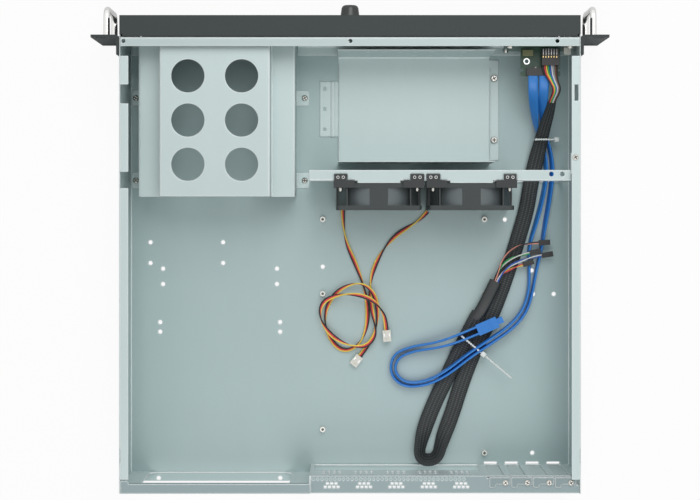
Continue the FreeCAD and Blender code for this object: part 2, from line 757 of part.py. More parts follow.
def slot_cover(index):
    """A cover: a blade that hangs through the shelf, and a tab that its screw holds down."""
    body = new_body(f"slot_cover_{index + 1}")
    x = SLOTS[index]
    gauge = mm("cover_gauge")
    blade_y = BOARD_WALL + mm("gauge") + mm("slip")
    half = mm("cover_width") / 2
    blade = f"{REAR_EDGE} - Sizes.board_wall_inset + Sizes.gauge + Sizes.slip + Sizes.cover_gauge / 2"
    foot = FLOOR + mm("slip")
    tip = half * 0.55
    neck = SHELF - mm("gauge") - 1.0
    edge = half - 2.2
    pad(body, "XZ", blade, "Sizes.cover_gauge", [
        outline([
            (x - tip, foot), (x + tip, foot), (x + half, foot + 8), (x + half, neck), (x + edge, neck),
            (x + edge, SHELF + gauge), (x - half, SHELF + gauge), (x - half, foot + 8),
        ])
    ])
    # The tab lies on the shelf; it is long at one side and cut back for the screw at the other.
    right = x + edge + 0.2
    left = right - mm("slot_pitch") + 2 * mm("slip")
    split = x + 1.0
    long_y = blade_y + mm("cover_tab")
    corners = [(right, blade_y), (right, long_y), (split, long_y), (split, long_y - 3)]
    corners += [(left, long_y - 3), (left, blade_y)]
    shelf = f"{HEIGHT} - Sizes.shelf_drop + Sizes.cover_gauge / 2"
    pad(body, "XY", shelf, "Sizes.cover_gauge", [outline(corners, [0.0, 1.5, 1.5, 0.0, 0.0, 0.0])])
    hole = circle(x - mm("cover_screw_offset"), COVER_SCREW_Y, 3.8)
    cut(body, "XY", shelf, "3 * Sizes.cover_gauge", [hole])
    # Two ribs pressed along the blade stiffen it.
    ribs = [centred(x + shift, SHELF / 2, 1.2, SHELF - 30, 0.5) for shift in (-2.4, 2.4)]
    pad(body, "XZ", blade + " + Sizes.cover_gauge / 2", "Sizes.cover_gauge", ribs)


def drive_cage():
    """A sheet folded to a hat's section, with feet along both sides and windows in its roof."""
    body = new_body("drive_cage")
    gauge = mm("cage_gauge")
    wide = mm("cage_width") / 2
    shoulder = mm("cage_shoulder")
    path = [(-wide, FLOOR), (-wide, shoulder), (-CAGE_HAT, shoulder), (-CAGE_HAT, CAGE_TOP)]
    path += [(-x, z) for x, z in reversed(path)]
    path = [(CAGE_CENTRE + x, z) for x, z in path]
    start = f"{FRONT_EDGE} + " + total("front_wall_setback", "gauge", "slip")
    pad(body, "XZ", f"{start} + Sizes.cage_length / 2", "Sizes.cage_length", [strip(path, gauge, mm("bend"))])
    base = "Sizes.gauge + Sizes.cage_gauge / 2"
    pad(body, "XY", base, "Sizes.cage_gauge", cage_feet())
    row = (CAGE_FRONT + CAGE_REAR) / 2 + mm("cage_window_shift")
    places = [
        (CAGE_CENTRE + column * mm("cage_window_pitch_x"), row + line * mm("cage_window_pitch_y"))
        for column in (-0.5, 0.5) for line in (-1, 0, 1)
    ]
    roof = f"{CAGE_TOP} - Sizes.cage_gauge / 2"
    cut(body, "XY", roof, "3 * Sizes.cage_gauge", circles(places, mm("cage_window")))
    columns = (CAGE_FRONT + 34.5, CAGE_REAR - 53.2, CAGE_REAR - 10.6)
    places = [(y, z) for y in columns for z in (shoulder + 14, 22.0)]
    across = "Sizes.cage_width + 4 * Sizes.cage_gauge"
    cut(body, "YZ", f"{CAGE_CENTRE}", across, circles(places, mm("drive_screw_hole")))
    cut(body, "XY", base, "3 * Sizes.cage_gauge", circles(cage_screw_places(), 3.8))


def cage_feet():
    """The outlines of the cage's four feet, two each side."""
    inner = mm("cage_width") / 2 - mm("cage_gauge")
    outer = mm("cage_width") / 2 + mm("cage_foot_reach")
    half = mm("cage_foot_length") / 2
    feet = []
    for y in CAGE_FEET:
        feet.append(rectangle(CAGE_CENTRE + inner, y - half, CAGE_CENTRE + outer, y + half))
        feet.append(rectangle(CAGE_CENTRE - outer, y - half, CAGE_CENTRE - inner, y + half))
    return feet


def disk_cage():
    """An open channel across the case, with a tongue on the right and a flange on the left."""
    body = new_body("disk_cage")
    gauge = mm("cage_gauge")
    path = [(DISK_REAR, CAGE_TOP), (DISK_REAR, FLOOR), (DISK_FRONT, FLOOR), (DISK_FRONT, CAGE_TOP)]
    middle = (DISK_RIGHT + DISK_LEFT) / 2
    pad(body, "YZ", f"{middle}", "Sizes.disk_length", [strip(path, gauge, mm("bend"))])
    tongue = rectangle(
        DISK_RIGHT - 2, DISK_FRONT + mm("disk_tongue_front"),
        DISK_RIGHT + mm("disk_tongue"), DISK_REAR - mm("disk_tongue_rear"),
    )
    inset = mm("disk_flange_inset")
    left = DISK_LEFT - mm("disk_flange")
    flange = rectangle(left, DISK_FRONT + inset, DISK_LEFT + 2, DISK_REAR - inset, 1.5)
    base = "Sizes.gauge + Sizes.cage_gauge / 2"
    pad(body, "XY", base, "Sizes.cage_gauge", [tongue, flange])
    columns = [middle + mm("disk_hole_pitch") * number for number in range(-3, 4)]
    holes = circles([(x, z) for x in columns for z in (18.0, 60.0)], 3.8)
    across = "Sizes.disk_width + 4 * Sizes.cage_gauge"
    cut(body, "XZ", f"{DISK_MIDDLE}", across, holes)
    cut(body, "XY", base, "3 * Sizes.cage_gauge", circles(disk_screw_places(), 4.2))


def floor_bridge():
    """A low stamped bridge that holds the disk cage's tongue down."""
    body = new_body("floor_bridge")
    gauge = mm("cage_gauge")
    tongue = DISK_RIGHT + mm("disk_tongue")
    top = CAGE_FLOOR + gauge + mm("slip")
    path = [(tongue - 2.5, top), (tongue + 1.2, top), (tongue + 1.2, CAGE_FLOOR), (tongue + 12, CAGE_FLOOR)]
    middle = DISK_MIDDLE - 1.2
    pad(body, "XZ", f"{middle}", "Sizes.bridge_length", [strip(path, gauge, 0.2)])
    holes = circles([(tongue + 7.5, middle + y) for y in (-20.0, 0.0, 20.0)], 3.2)
    cut(body, "XY", "Sizes.gauge + Sizes.cage_gauge / 2", "3 * Sizes.cage_gauge", holes)


def fan_rail():
    """A channel that stands across the case; at its left end an arm is screwed to the flange."""
    body = new_body("fan_rail")
    gauge = mm("rail_gauge")
    path = [(RAIL_FRONT, RAIL_TOP), (RAIL_REAR, RAIL_TOP), (RAIL_REAR, FLOOR), (RAIL_FRONT, FLOOR)]
    middle = (RAIL_LEFT + RAIL_RIGHT) / 2
    pad(body, "YZ", f"{middle}", RAIL_LENGTH, [strip(path, gauge, mm("bend"))])
    roof = f"{RAIL_TOP} - Sizes.rail_gauge / 2"
    half = mm("rail_tab_half")
    tabs = [rectangle(x - half, RAIL_REAR - 3, x + half, FAN_FRONT - mm("slip")) for x in FAN_CENTRES]
    pad(body, "XY", roof, "Sizes.rail_gauge", tabs)
    rail_arm(body)
    web = f"{FRONT_EDGE} + {RAIL_PLACE} + Sizes.rail_depth - Sizes.rail_gauge / 2"
    openings = circles([(x, FAN_AXIS) for x in FAN_CENTRES], FAN_BORE)
    openings += circles([(x, FAN_AXIS + FAN_CORNER) for x in FAN_SCREWS], 8.4)
    cable_way = FAN_CENTRES[1] - mm("fan_size") / 2
    openings.append(rectangle(RAIL_LEFT + 4, FLOOR + gauge + 1, cable_way - 3, RAIL_TOP - 12, 3))
    cut(body, "XZ", web, "3 * Sizes.rail_gauge", openings)
    holes = circles([(RAIL_LEFT + x, RAIL_FRONT + 3.8) for x in (18.6, 8.5)], 4.5)
    notch = mm("clip_tongue") + 1.2
    holes += [centred(x, RAIL_REAR - 3.4, notch, 6.4, 0.6) for x in FAN_SCREWS]
    cut(body, "XY", roof, "3 * Sizes.rail_gauge", holes)


def rail_arm(body):
    """A wall along the rail's left end that rises to a tab under the tray's flange."""
    gauge = mm("rail_gauge")
    start = RAIL_FRONT - mm("rail_arm")
    under = TOP - mm("gauge")
    wall = rectangle(start, RAIL_TOP - gauge, RAIL_FRONT + 4, under)
    pad(body, "YZ", f"{RAIL_LEFT} + Sizes.rail_gauge / 2", "Sizes.rail_gauge", [wall])
    tab = rectangle(mm("bend") - INNER_HALF, start, RAIL_LEFT + gauge, RAIL_FRONT - 4)
    middle = f"{HEIGHT} - Sizes.gauge - Sizes.rail_gauge / 2"
    pad(body, "XY", middle, "Sizes.rail_gauge", [tab])
    cut(body, "XY", middle, "3 * Sizes.rail_gauge", [circle(*RAIL_SCREW, 3.4)])


def fan_clip(index):
    """A moulded clip: its foot sits in the rail's notch, and its leg behind takes the fan's screw."""
    body = new_body(f"fan_clip_{index + 1}")
    x = CLIPS[index]
    slip = mm("slip")
    fan_top = FLOOR + mm("fan_size")
    high = RAIL_TOP + mm("clip_rise")
    leg = fan_top - 11
    section = [
        (RAIL_REAR - 6.4, RAIL_TOP), (RAIL_REAR + slip, RAIL_TOP), (RAIL_REAR + slip, leg),
        (FAN_FRONT - slip, leg), (FAN_FRONT - slip, fan_top + slip), (FAN_FRONT + 4.5, fan_top + slip),
        (FAN_FRONT + 4.5, high), (RAIL_REAR - 6.4, high),
    ]
    pad(body, "YZ", f"{x}", "Sizes.clip_width", [outline(section, [0, 0, 0, 0, 0, 0, 0.8, 0.8])])
    # Only a narrow tongue, in line with the screw, reaches forward over the rail.
    axis = FAN_SCREWS[index]
    far = mm("clip_width") + 2
    half = mm("clip_tongue") / 2
    ends = [rectangle(axis + half, RAIL_REAR - 8, axis + far, RAIL_REAR)]
    ends.append(rectangle(axis - far, RAIL_REAR - 8, axis - half, RAIL_REAR))
    cut(body, "XY", f"{high}", "3 * Sizes.clip_rise", ends)
    hole = circle(axis, FAN_AXIS + FAN_CORNER, 3.8)
    cut(body, "XZ", f"{(RAIL_REAR + FAN_FRONT) / 2}", "Sizes.fan_standoff * 2", [hole])
    eyes = circles([(axis + side * 2.5, RAIL_REAR - 3.4) for side in (1, -1)], 2.0)
    cut(body, "XY", f"{high}", "Sizes.clip_rise", eyes)


def ear(side, label):
    """A rack ear: a plate with two slots, and a leg along the tray's side that screws hold."""
    body = new_body(label)
    outer = HALF_WIDTH + mm("ear_reach")
    path = [(outer, FRONT), (HALF_WIDTH, FRONT), (HALF_WIDTH, FRONT + mm("ear_leg"))]
    if side < 0:
        path = flip(path)
    pad(body, "XY", f"{HEIGHT} / 2", HEIGHT, [strip(path, mm("ear_gauge"), mm("bend"))])
    x = side * (outer - mm("rack_hole_inset"))
    height = mm("rack_slot_height")
    rows = (mm("rack_hole_margin"), TOP - mm("rack_hole_margin"))
    slots = [centred(x, z, mm("rack_slot_length"), height, height / 2 - 0.05) for z in rows]
    cut(body, "XZ", f"{FRONT_EDGE} + Sizes.ear_gauge / 2", "3 * Sizes.ear_gauge", slots)
    leg = f"{side} * ({WIDTH} + Sizes.ear_gauge) / 2"
    holes = circles([(EAR_SCREW_Y, z) for z in EAR_SCREWS], mm("ear_screw_hole"))
    cut(body, "YZ", leg, "3 * Sizes.ear_gauge", holes)


def handle(side, label):
    """A bent rod that stands out from the ear."""
    body = new_body(label)
    out = FRONT - mm("handle_reach") + mm("handle_rod") / 2
    low = mm("handle_margin")
    high = TOP - low
    bend = mm("handle_bend")
    lower = arc_round(point(out, low), point(FRONT, low), point(out, high), bend)
    upper = arc_round(point(out, high), point(out, low), point(FRONT, high), bend)
    spine = sketch_on(body, "YZ", f"{side} * ({WIDTH} / 2 + Sizes.handle_offset)", [[
        Part.LineSegment(point(FRONT, low), lower[0]),
        Part.Arc(*lower),
        Part.LineSegment(lower[2], upper[0]),
        Part.Arc(*upper),
        Part.LineSegment(upper[2], point(FRONT, high)),
    ]])
    place = side * (HALF_WIDTH + mm("handle_offset"))
    section = sketch_on(body, "XZ", FRONT_EDGE, [circle(place, low, mm("handle_rod"))])
    DOC.recompute()
    rod = body.newObject("PartDesign::AdditivePipe", label + "_rod")
    rod.Profile = section
    rod.Spine = (spine, ["Edge1", "Edge2", "Edge3", "Edge4", "Edge5"])


# ---- Fans ----


def fan_frame(index):
    """A square housing with a round duct; four arms behind the rotor carry its bearing tube."""
    body = new_body(f"fan_frame_{index + 1}")
    x = FAN_CENTRES[index]
    size = mm("fan_size")
    middle = f"{FAN_FRONT} + Sizes.fan_depth / 2"
    square = centred(x, FAN_AXIS, size, size, 3.5)
    pad(body, "XZ", middle, "Sizes.fan_depth", [square, circle(x, FAN_AXIS, FAN_BORE)])
    # Between its two flanges the housing is cut back to the duct, apart from a pad and two ribs.
    waist = "Sizes.fan_depth - 2 * Sizes.fan_lip"
    for side in (1, -1):
        for top in (1, -1):
            cut(body, "XZ", middle, waist, [fan_corner(x, side, top)])
    wells = [fan_well(x, side, top) for side in (1, -1) for top in (1, -1)]
    cut(body, "XZ", middle, waist, wells)
    corners = [(x + a * FAN_CORNER, FAN_AXIS + b * FAN_CORNER) for a in (1, -1) for b in (1, -1)]
    cut(body, "XZ", middle, "Sizes.fan_depth * 2", circles(corners, mm("fan_hole")))
    fan_seat(body, x)


def duct_radius():
    return FAN_BORE / 2 + 1.6


def fan_corner(x, side, top):
    """The hollow at one corner, outside the duct."""
    duct = duct_radius()
    reach = mm("fan_size") / 2 + 2
    start = math.asin((mm("fan_rib") + 0.6) / duct)
    end = math.acos(0.3)

    def on_duct(angle):
        return point(x + side * duct * math.sin(angle), FAN_AXIS + top * duct * math.cos(angle))

    near_top = on_duct(start)
    near_side = on_duct(end)
    over_top = point(near_top.x, FAN_AXIS + top * reach)
    outside = point(x + side * reach, FAN_AXIS + top * reach)
    beside = point(x + side * reach, near_side.y)
    return [
        Part.Arc(near_top, on_duct((start + end) / 2), near_side),
        Part.LineSegment(near_side, beside),
        Part.LineSegment(beside, outside),
        Part.LineSegment(outside, over_top),
        Part.LineSegment(over_top, near_top),
    ]


def fan_well(x, side, top):
    """A recess between the middle pad and a rib, down to the duct."""
    duct = duct_radius()
    reach = mm("fan_size") / 2 + 2
    near = mm("fan_pad") / 2
    far = mm("fan_rib") - 0.6
    between = (near + far) / 2
    on_duct = [
        point(x + side * place, FAN_AXIS + top * math.sqrt(duct ** 2 - place ** 2))
        for place in (near, between, far)
    ]
    above = [point(x + side * place, FAN_AXIS + top * reach) for place in (near, far)]
    return [
        Part.Arc(*on_duct),
        Part.LineSegment(on_duct[2], above[1]),
        Part.LineSegment(above[1], above[0]),
        Part.LineSegment(above[0], on_duct[0]),
    ]


def fan_seat(body, x):
    """The motor's seat at the outlet: a disc on four arms, with the bearing tube on it."""
    seat = f"{FAN_REAR - 2.0}"
    inner = 12.0
    outer = FAN_BORE / 2 + 0.6
    for turn in range(4):
        angle = math.radians(45 + 90 * turn)
        along = point(math.cos(angle), math.sin(angle))
        across = point(-along.y, along.x) * 1.8
        hub = point(x, FAN_AXIS)
        near = hub + along * inner
        far = hub + along * outer
        corners = [near - across, far - across, far + across, near + across]
        pad(body, "XZ", seat, "3", [outline([(corner.x, corner.y) for corner in corners])])
    bore = circle(x, FAN_AXIS, mm("fan_shaft") + 2 * mm("running_fit"))
    pad(body, "XZ", seat, "3", [circle(x, FAN_AXIS, mm("fan_seat")), bore])
    pad(body, "XZ", f"{FAN_REAR - 8.5}", "12", [circle(x, FAN_AXIS, 9.0), bore])


def rotor(index):
    """Hub cup, shaft and seven pitched blades, turned and lofted about the fan's axis."""
    hub = mm("rotor_hub") / 2
    skin = 1.6
    cup_depth = mm("fan_depth") - 7.5
    shaft = mm("fan_shaft") / 2
    tail = cup_depth + 2
    cup = turned([
        (0, hub - 1.5), (1.5, hub), (cup_depth, hub), (cup_depth, hub - skin), (skin, hub - skin),
        (skin, shaft), (tail, shaft),
    ], (0, 0, 0), (0, 0, 1))
    tip = FAN_BORE / 2 - mm("blade_gap")
    blade = rotor_blade(hub - 0.8, tip + 0.5, cup_depth / 2)
    blades = []
    for number in range(7):
        turn = blade.copy()
        turn.rotate(FreeCAD.Vector(), FreeCAD.Vector(0, 0, 1), number * 360 / 7)
        blades.append(turn)
    sweep = Part.makeCylinder(tip, mm("fan_depth"))
    solid = cup.fuse(blades).common(sweep).removeSplitter()
    facing = FreeCAD.Rotation(FreeCAD.Vector(0, 0, 1), FreeCAD.Vector(0, 1, 0))
    centre = FreeCAD.Vector(FAN_CENTRES[index], FAN_FRONT + 1.5, FAN_AXIS)
    solid.Placement = FreeCAD.Placement(centre, facing)
    shape_node(f"rotor_{index + 1}", solid)


def rotor_blade(root, tip, height):
    """One blade from the hub outwards, flatter and broader towards its tip."""
    sections = []
    for radius, pitch, chord in ((root, 48.0, 15.5), ((root + tip) / 2, 40.0, 19.0), (tip, 32.0, 22.0)):
        angle = math.radians(pitch)
        along = FreeCAD.Vector(0, math.cos(angle), math.sin(angle)) * (chord / 2)
        thick = FreeCAD.Vector(0, -math.sin(angle), math.cos(angle)) * 0.6
        middle = FreeCAD.Vector(radius, 0, height)
        corners = [middle - along, middle + thick, middle + along, middle - thick]
        sections.append(Part.makePolygon(corners + corners[:1]))
    return Part.makeLoft(sections, True, True)


# ---- Door, lock and hinge ----


def front_door():
    """A shallow tray that stands on its hinge, open at the back."""
    body = new_body("front_door")
    half = HALF_WIDTH - mm("door_side_gap")
    bottom = mm("door_bottom")
    skin = mm("door_wall")
    middle = f"{FRONT_EDGE} - Sizes.door_clearance - Sizes.door_thickness / 2"
    pad(body, "XZ", middle, "Sizes.door_thickness", [rectangle(-half, bottom, half, TOP, 1.0)])
    inner = rectangle(-half + skin, bottom + skin, half - skin, TOP - skin)
    hollow = "Sizes.door_thickness - Sizes.door_wall"
    cut(body, "XZ", f"{middle} + Sizes.door_wall", f"{hollow} + Sizes.door_wall", [inner])
    # A lip along the top closes the gap to the front wall.
    reach = INNER_HALF - 2.0
    lip = rectangle(-reach, TOP - skin, reach, TOP)
    lip_back = "(Sizes.front_wall_setback - Sizes.door_clearance)"
    pad(body, "XZ", f"{FRONT_EDGE} + {lip_back} / 2 - 1", f"{lip_back} + 2", [lip])
    door_edges(body, bottom)
    # Bottom slots let the hinge lugs through as it opens.
    slot = mm("hinge_lug_width") / 2 + 1.0
    lugs = [
        rectangle(side * HINGE_LUG - slot, DOOR_FRONT + 1.2, side * HINGE_LUG + slot, DOOR_BACK + 1)
        for side in (1, -1)
    ]
    cut(body, "XY", "Sizes.door_bottom", "2 * Sizes.door_wall + 1", lugs)
    hole = circle(0, LOCK_Z, mm("lock_thread") + 0.6)
    cut(body, "XZ", f"{DOOR_FRONT}", "3 * Sizes.door_wall", [hole])
    for side in (1, -1):
        for shift in (1, -1):
            hinge_boss(body, side * HINGE_LUG, shift)


def door_edges(body, bottom):
    """The lower edges: cut back behind, to clear the wall as the door drops open, and broken in front."""
    behind = outline([
        (DOOR_BACK - 1.6, bottom - 1), (DOOR_BACK + 1, bottom - 1), (DOOR_BACK + 1, bottom + 20),
        (DOOR_BACK, bottom + 20), (DOOR_BACK - 1.6, bottom + 12),
    ])
    front = outline([
        (DOOR_FRONT - 1, bottom - 1), (DOOR_FRONT + 1.5, bottom - 1), (DOOR_FRONT + 1.5, bottom),
        (DOOR_FRONT, bottom + 1.5), (DOOR_FRONT - 1, bottom + 1.5),
    ])
    cut(body, "YZ", "0", f"{WIDTH} + 4", [behind, front])


def hinge_boss(body, lug, shift):
    """A boss inside the door, beside a lug, that carries the hinge's pin."""
    gap = mm("hinge_lug_width") / 2 + 0.5
    x = lug + shift * (gap + mm("hinge_boss") / 2)
    low = mm("door_bottom") + 0.5
    bosses = rectangle(DOOR_FRONT + 1, low, HINGE_Y + 3.2, HINGE_Z + 3.6)
    pad(body, "YZ", f"{x}", "Sizes.hinge_boss", [bosses])
    cut(body, "YZ", f"{x}", "Sizes.hinge_boss + 1", [circle(HINGE_Y, HINGE_Z, mm("hinge_pin"))])


def hinge_lugs():
    """Two arms fixed to the front wall that carry the door's pins."""
    solids = []
    width = mm("hinge_lug_width")
    along = FreeCAD.Vector(1, 0, 0)
    for side in (1, -1):
        x = side * HINGE_LUG - width / 2
        pin = FreeCAD.Vector(x, HINGE_Y, HINGE_Z)
        eye = Part.makeCylinder(mm("hinge_eye") / 2, width, pin, along)
        arm = block(x, HINGE_Y, HINGE_Z - 2, x + width, WALL_FRONT, HINGE_Z + 2)
        foot = block(x, WALL_FRONT - 1.6, HINGE_Z - 2, x + width, WALL_FRONT, HINGE_Z + 18)
        bore = Part.makeCylinder(mm("hinge_pin") / 2 + mm("running_fit"), width + 2, pin - along, along)
        solids.append(eye.fuse([arm, foot]).cut(bore).removeSplitter())
    shape_node("hinge_lugs", Part.makeCompound(solids))


def hinge_pins():
    length = mm("hinge_lug_width") + 2 * (mm("hinge_boss") + 0.4)
    places = [(side * HINGE_LUG - length / 2, HINGE_Y, HINGE_Z) for side in (1, -1)]
    radius = mm("hinge_pin") / 2
    group("hinge_pins", [(0, radius), (length, radius)], places, (1, 0, 0))


def lock_housing():
    """Turned housing: a flared collar against the door, a tapered body and a threaded tail."""
    bore = mm("lock_core") / 2 + mm("running_fit")
    thread = mm("lock_thread") / 2
    body = mm("lock_body") / 2
    tip = mm("lock_tip") / 2
    collar = mm("lock_collar") / 2
    reach = mm("lock_reach")
    tail = mm("lock_tail")
    profile = [
        (-tail, bore), (-tail, thread), (0.0, thread), (0.0, collar), (1.2, collar), (2.0, body),
        (reach - 2.6, tip + 0.6), (reach - 1.0, tip - 0.2), (reach, tip - 1.6), (reach, bore),
    ]
    shape_node("lock_housing", turned_ring(profile, (0, DOOR_FRONT, LOCK_Z), (0, -1, 0)))


def lock_core():
    """The core turns in the housing; its face has the round key's ring."""
    radius = mm("lock_core") / 2
    back = mm("lock_tail") + 2.6
    face = mm("lock_reach") - 0.6
    profile = [
        (-back, radius), (face, radius), (face, radius - 0.9), (face - 3.4, radius - 0.9),
        (face - 3.4, radius - 1.9), (face, radius - 1.9),
    ]
    shape_node("lock_core", turned(profile, (0, DOOR_FRONT, LOCK_Z), (0, -1, 0)))


def lock_cam():
    """The cam on the core's back end; it points sideways when unlocked."""
    body = new_body("lock_cam")
    reach = mm("cam_reach")
    corners = [(-4.5, LOCK_Z - 4.5), (reach, LOCK_Z - 3.5), (reach, LOCK_Z + 3.5), (-4.5, LOCK_Z + 4.5)]
    blade = outline(corners, [4.0, 3.0, 3.0, 4.0])
    pad(body, "XZ", f"{CAM_Y} + Sizes.cam_gauge / 2", "Sizes.cam_gauge", [blade])


def lock_catch():
    """A hook on the front wall; the cam turns up behind its lip."""
    body = new_body("lock_catch")
    gauge = mm("gauge")
    lip = CAM_Y - 2 * gauge
    high = LOCK_Z + mm("cam_reach") + 4
    path = [(lip, high - 12), (lip, high), (WALL_FRONT, high)]
    pad(body, "YZ", "0", "16", [strip(path, gauge, 0.6)])
    pad(body, "XZ", f"{WALL_FRONT} - Sizes.gauge / 2", "Sizes.gauge", [rectangle(-8, high - 10, 8, high)])


# ---- Control board ----


def panel_board():
    body = new_body("panel_board")
    places = total("front_wall_setback", "gauge", "panel_board_gap")
    middle = f"{FRONT_EDGE} + {places} + Sizes.board_gauge / 2"
    edge = rectangle(PANEL_LEFT, PANEL_BOTTOM, PANEL_RIGHT, PANEL_TOP, 1.0)
    pad(body, "XZ", middle, "Sizes.board_gauge", [edge] + circles(panel_post_places(), 3.2))


def panel_posts():
    """Posts between the front wall and the control board, each with its nut."""
    gap = mm("panel_board_gap")
    back = gap + mm("board_gauge")
    profile = [(0, 2.5), (gap, 2.5), (gap, 1.5), (back, 1.5), (back, 2.7), (back + 1.8, 2.4)]
    places = [(x, WALL_BACK, z) for x, z in panel_post_places()]
    group("panel_posts", profile, places, (0, 1, 0))


def button(index, label):
    """A cap that stands through the front wall, with a flange behind it and a stem to its switch."""
    x, z = BUTTONS[index]
    front = WALL_FRONT - 2.6
    flange = WALL_BACK + 0.3 - front
    stem_end = PANEL_FRONT - mm("switch_depth") - 0.3 - mm("button_travel") - front
    radius = mm("button_cap") / 2
    profile = [
        (0, radius - 0.7), (0.7, radius), (flange, radius), (flange, radius + 1.0),
        (flange + 0.8, radius + 1.0), (flange + 0.8, 1.6), (stem_end, 1.6),
    ]
    group(label, profile, [(x, front, z)], (0, 1, 0))


def daughter_board():
    """The small level board, with a pair of break-off notches in its sides."""
    body = new_body("daughter_board")
    notch = 2.6
    near = SMALL_REAR - 4.6
    far = SMALL_REAR - 7.0
    edge = outline([
        (SMALL_LEFT, PANEL_BACK), (SMALL_RIGHT, PANEL_BACK), (SMALL_RIGHT, far), (SMALL_RIGHT - notch, far),
        (SMALL_RIGHT - notch, near), (SMALL_RIGHT, near), (SMALL_RIGHT, SMALL_REAR), (SMALL_LEFT, SMALL_REAR),
        (SMALL_LEFT, near), (SMALL_LEFT + notch, near), (SMALL_LEFT + notch, far), (SMALL_LEFT, far),
    ])
    hole = circle(SMALL_RIGHT - 5.7, PANEL_BACK + 12.4, 3.2)
    pad(body, "XY", f"{SMALL_BOTTOM} + Sizes.board_gauge / 2", "Sizes.board_gauge", [edge, hole])


def board_components():
    """Switch blocks on the control board's front, and the small parts on both boards."""
    depth = mm("switch_depth")
    solids = [block(x - 3, PANEL_FRONT - depth, z - 3, x + 3, PANEL_FRONT, z + 3) for x, z in BUTTONS]
    near = PANEL_BACK + 2
    solids.append(block(SMALL_RIGHT - 11.5, near, SMALL_TOP, SMALL_RIGHT - 1.5, near + 5.7, SMALL_TOP + 5))
    left = PANEL_LEFT + 1.9
    low = SMALL_TOP + 2
    solids.append(block(left, PANEL_BACK, low, left + 6.8, PANEL_BACK + 6.5, low + 6))
    shape_node("board_components", Part.makeCompound(solids))


def header_socket():
    """A shrouded header at right angles on the small board, with its plug's housing seated in it."""
    centre = SMALL_LEFT + mm("header_offset")
    near = PANEL_BACK + 1
    shape_node("header_socket", block(centre - 8, near, SMALL_TOP, centre + 8, near + 15.8, SMALL_TOP + 9.4))


def usb_header():
    centre = SMALL_LEFT + mm("usb_header_offset")
    rear = SMALL_REAR - 0.4
    shape_node("usb_header", block(centre - 11.2, rear - 7, SMALL_TOP, centre + 11.2, rear, SMALL_TOP + 3.6))


def usb_ports():
    """Two ports: a shell with a tongue in its mouth, from the control board out through the wall."""
    solids = []
    front = WALL_FRONT - 6.0
    back = PANEL_FRONT - 2
    wide = mm("usb_width") / 2
    high = mm("usb_height") / 2
    for z in USB_ROWS:
        shell = block(USB_X - wide, front, z - high, USB_X + wide, PANEL_FRONT, z + high)
        mouth = block(USB_X - wide + 0.5, front - 1, z - high + 0.5, USB_X + wide - 0.5, back, z + high - 0.5)
        tongue = block(USB_X - wide + 1.2, front + 0.6, z + 0.2, USB_X + wide - 1.2, back, z + 1.7)
        solids.append(shell.cut(mouth).fuse(tongue))
    shape_node("usb_ports", Part.makeCompound(solids))


def led_lenses():
    front = WALL_FRONT - 0.8
    length = PANEL_FRONT - front
    radius = mm("led_width") / 2
    collar = mm("gauge") + 1.4
    profile = [(0, 0.9), (0.7, radius), (collar, radius), (collar, radius + 0.6), (length, radius + 0.6)]
    group("led_lenses", profile, [(x, front, LED_Z) for x in LEDS], (0, 1, 0))


# ---- Cords: each is a round tube on straight runs joined by arcs as wide as the runs allow ----

HARNESS = [
    (-189.0, -187.0, 62.0), (-189.0, -176.0, 62.0), (-194.4, -162.5, 54), (-194.4, -144.9, 34),
    (-188.5, -125.2, 20), (-181.6, -101.2, 10), (-175.6, -77.0, 8.2), (-172.2, -52.6, 5.6),
    (-164.4, -25.4, 5.6), (-155.2, 3.8, 5.6), (-144.5, 34.9, 5.6), (-132.3, 63.1, 6.4),
    (-118.7, 90.3, 7), (-108.0, 119.5, 5.6), (-99.2, 147.7, 5.6), (-92.0, 172.0, 5.6),
    (-86.0, 190.2, 5.6), (-65.5, 189.2, 5.6), (-70.0, 168.2, 5.6), (-79.7, 141.9, 5.6),
    (-92.4, 115.7, 5.6), (-105.9, 87.5, 7), (-120.5, 58.3, 8), (-132.2, 37.8, 12.5),
    (-141.0, 18.3, 14.5),
]
USB_CABLE_1 = [
    (-173.4, -177.6, 55.4), (-173.4, -165.6, 55.4), (-176.0, -148.2, 36), (-179.6, -130.9, 13.5),
    (-188.8, -111.0, 6.5), (-191.1, -88.6, 8.2), (-188.2, -66.2, 5.8), (-181.4, -40.0, 5.8),
    (-173.4, -14.7, 5.8), (-174.6, 7.7, 5.8), (-176.0, 27.1, 7), (-168.9, 45.4, 10),
    (-155.0, 60.7, 14.5), (-135.4, 74.2, 16.5), (-113.2, 88.7, 16.5), (-95.0, 104.4, 13),
    (-75.8, 116.4, 9), (-52.5, 120.4, 7), (-39.9, 107.8, 7), (-43.8, 91.3, 7),
    (-62.2, 83.6, 8), (-84.3, 82.7, 13), (-106.0, 77.0, 17), (-124.5, 68.9, 17),
]
USB_CABLE_2 = [
    (-183.8, -177.6, 55.4), (-183.8, -165.6, 55.4), (-184.2, -148.2, 34), (-186.0, -130.9, 13.5),
    (-194.8, -110.0, 6.5), (-197.0, -86.7, 8.2), (-194.1, -62.4, 5.8), (-187.3, -35.1, 5.8),
    (-180.4, -11.8, 5.8), (-180.6, 9.6, 5.8), (-181.8, 29.0, 7), (-174.7, 49.3, 10),
    (-159.8, 66.6, 14.5), (-139.3, 80.9, 16.5), (-117.0, 95.5, 16.5), (-98.8, 110.2, 13),
    (-77.7, 123.2, 9), (-49.6, 127.2, 7), (-33.1, 110.7, 7), (-36.9, 88.3, 7),
    (-58.3, 76.7, 8), (-81.3, 75.9, 13), (-103.3, 70.8, 17), (-121.8, 62.7, 17),
]
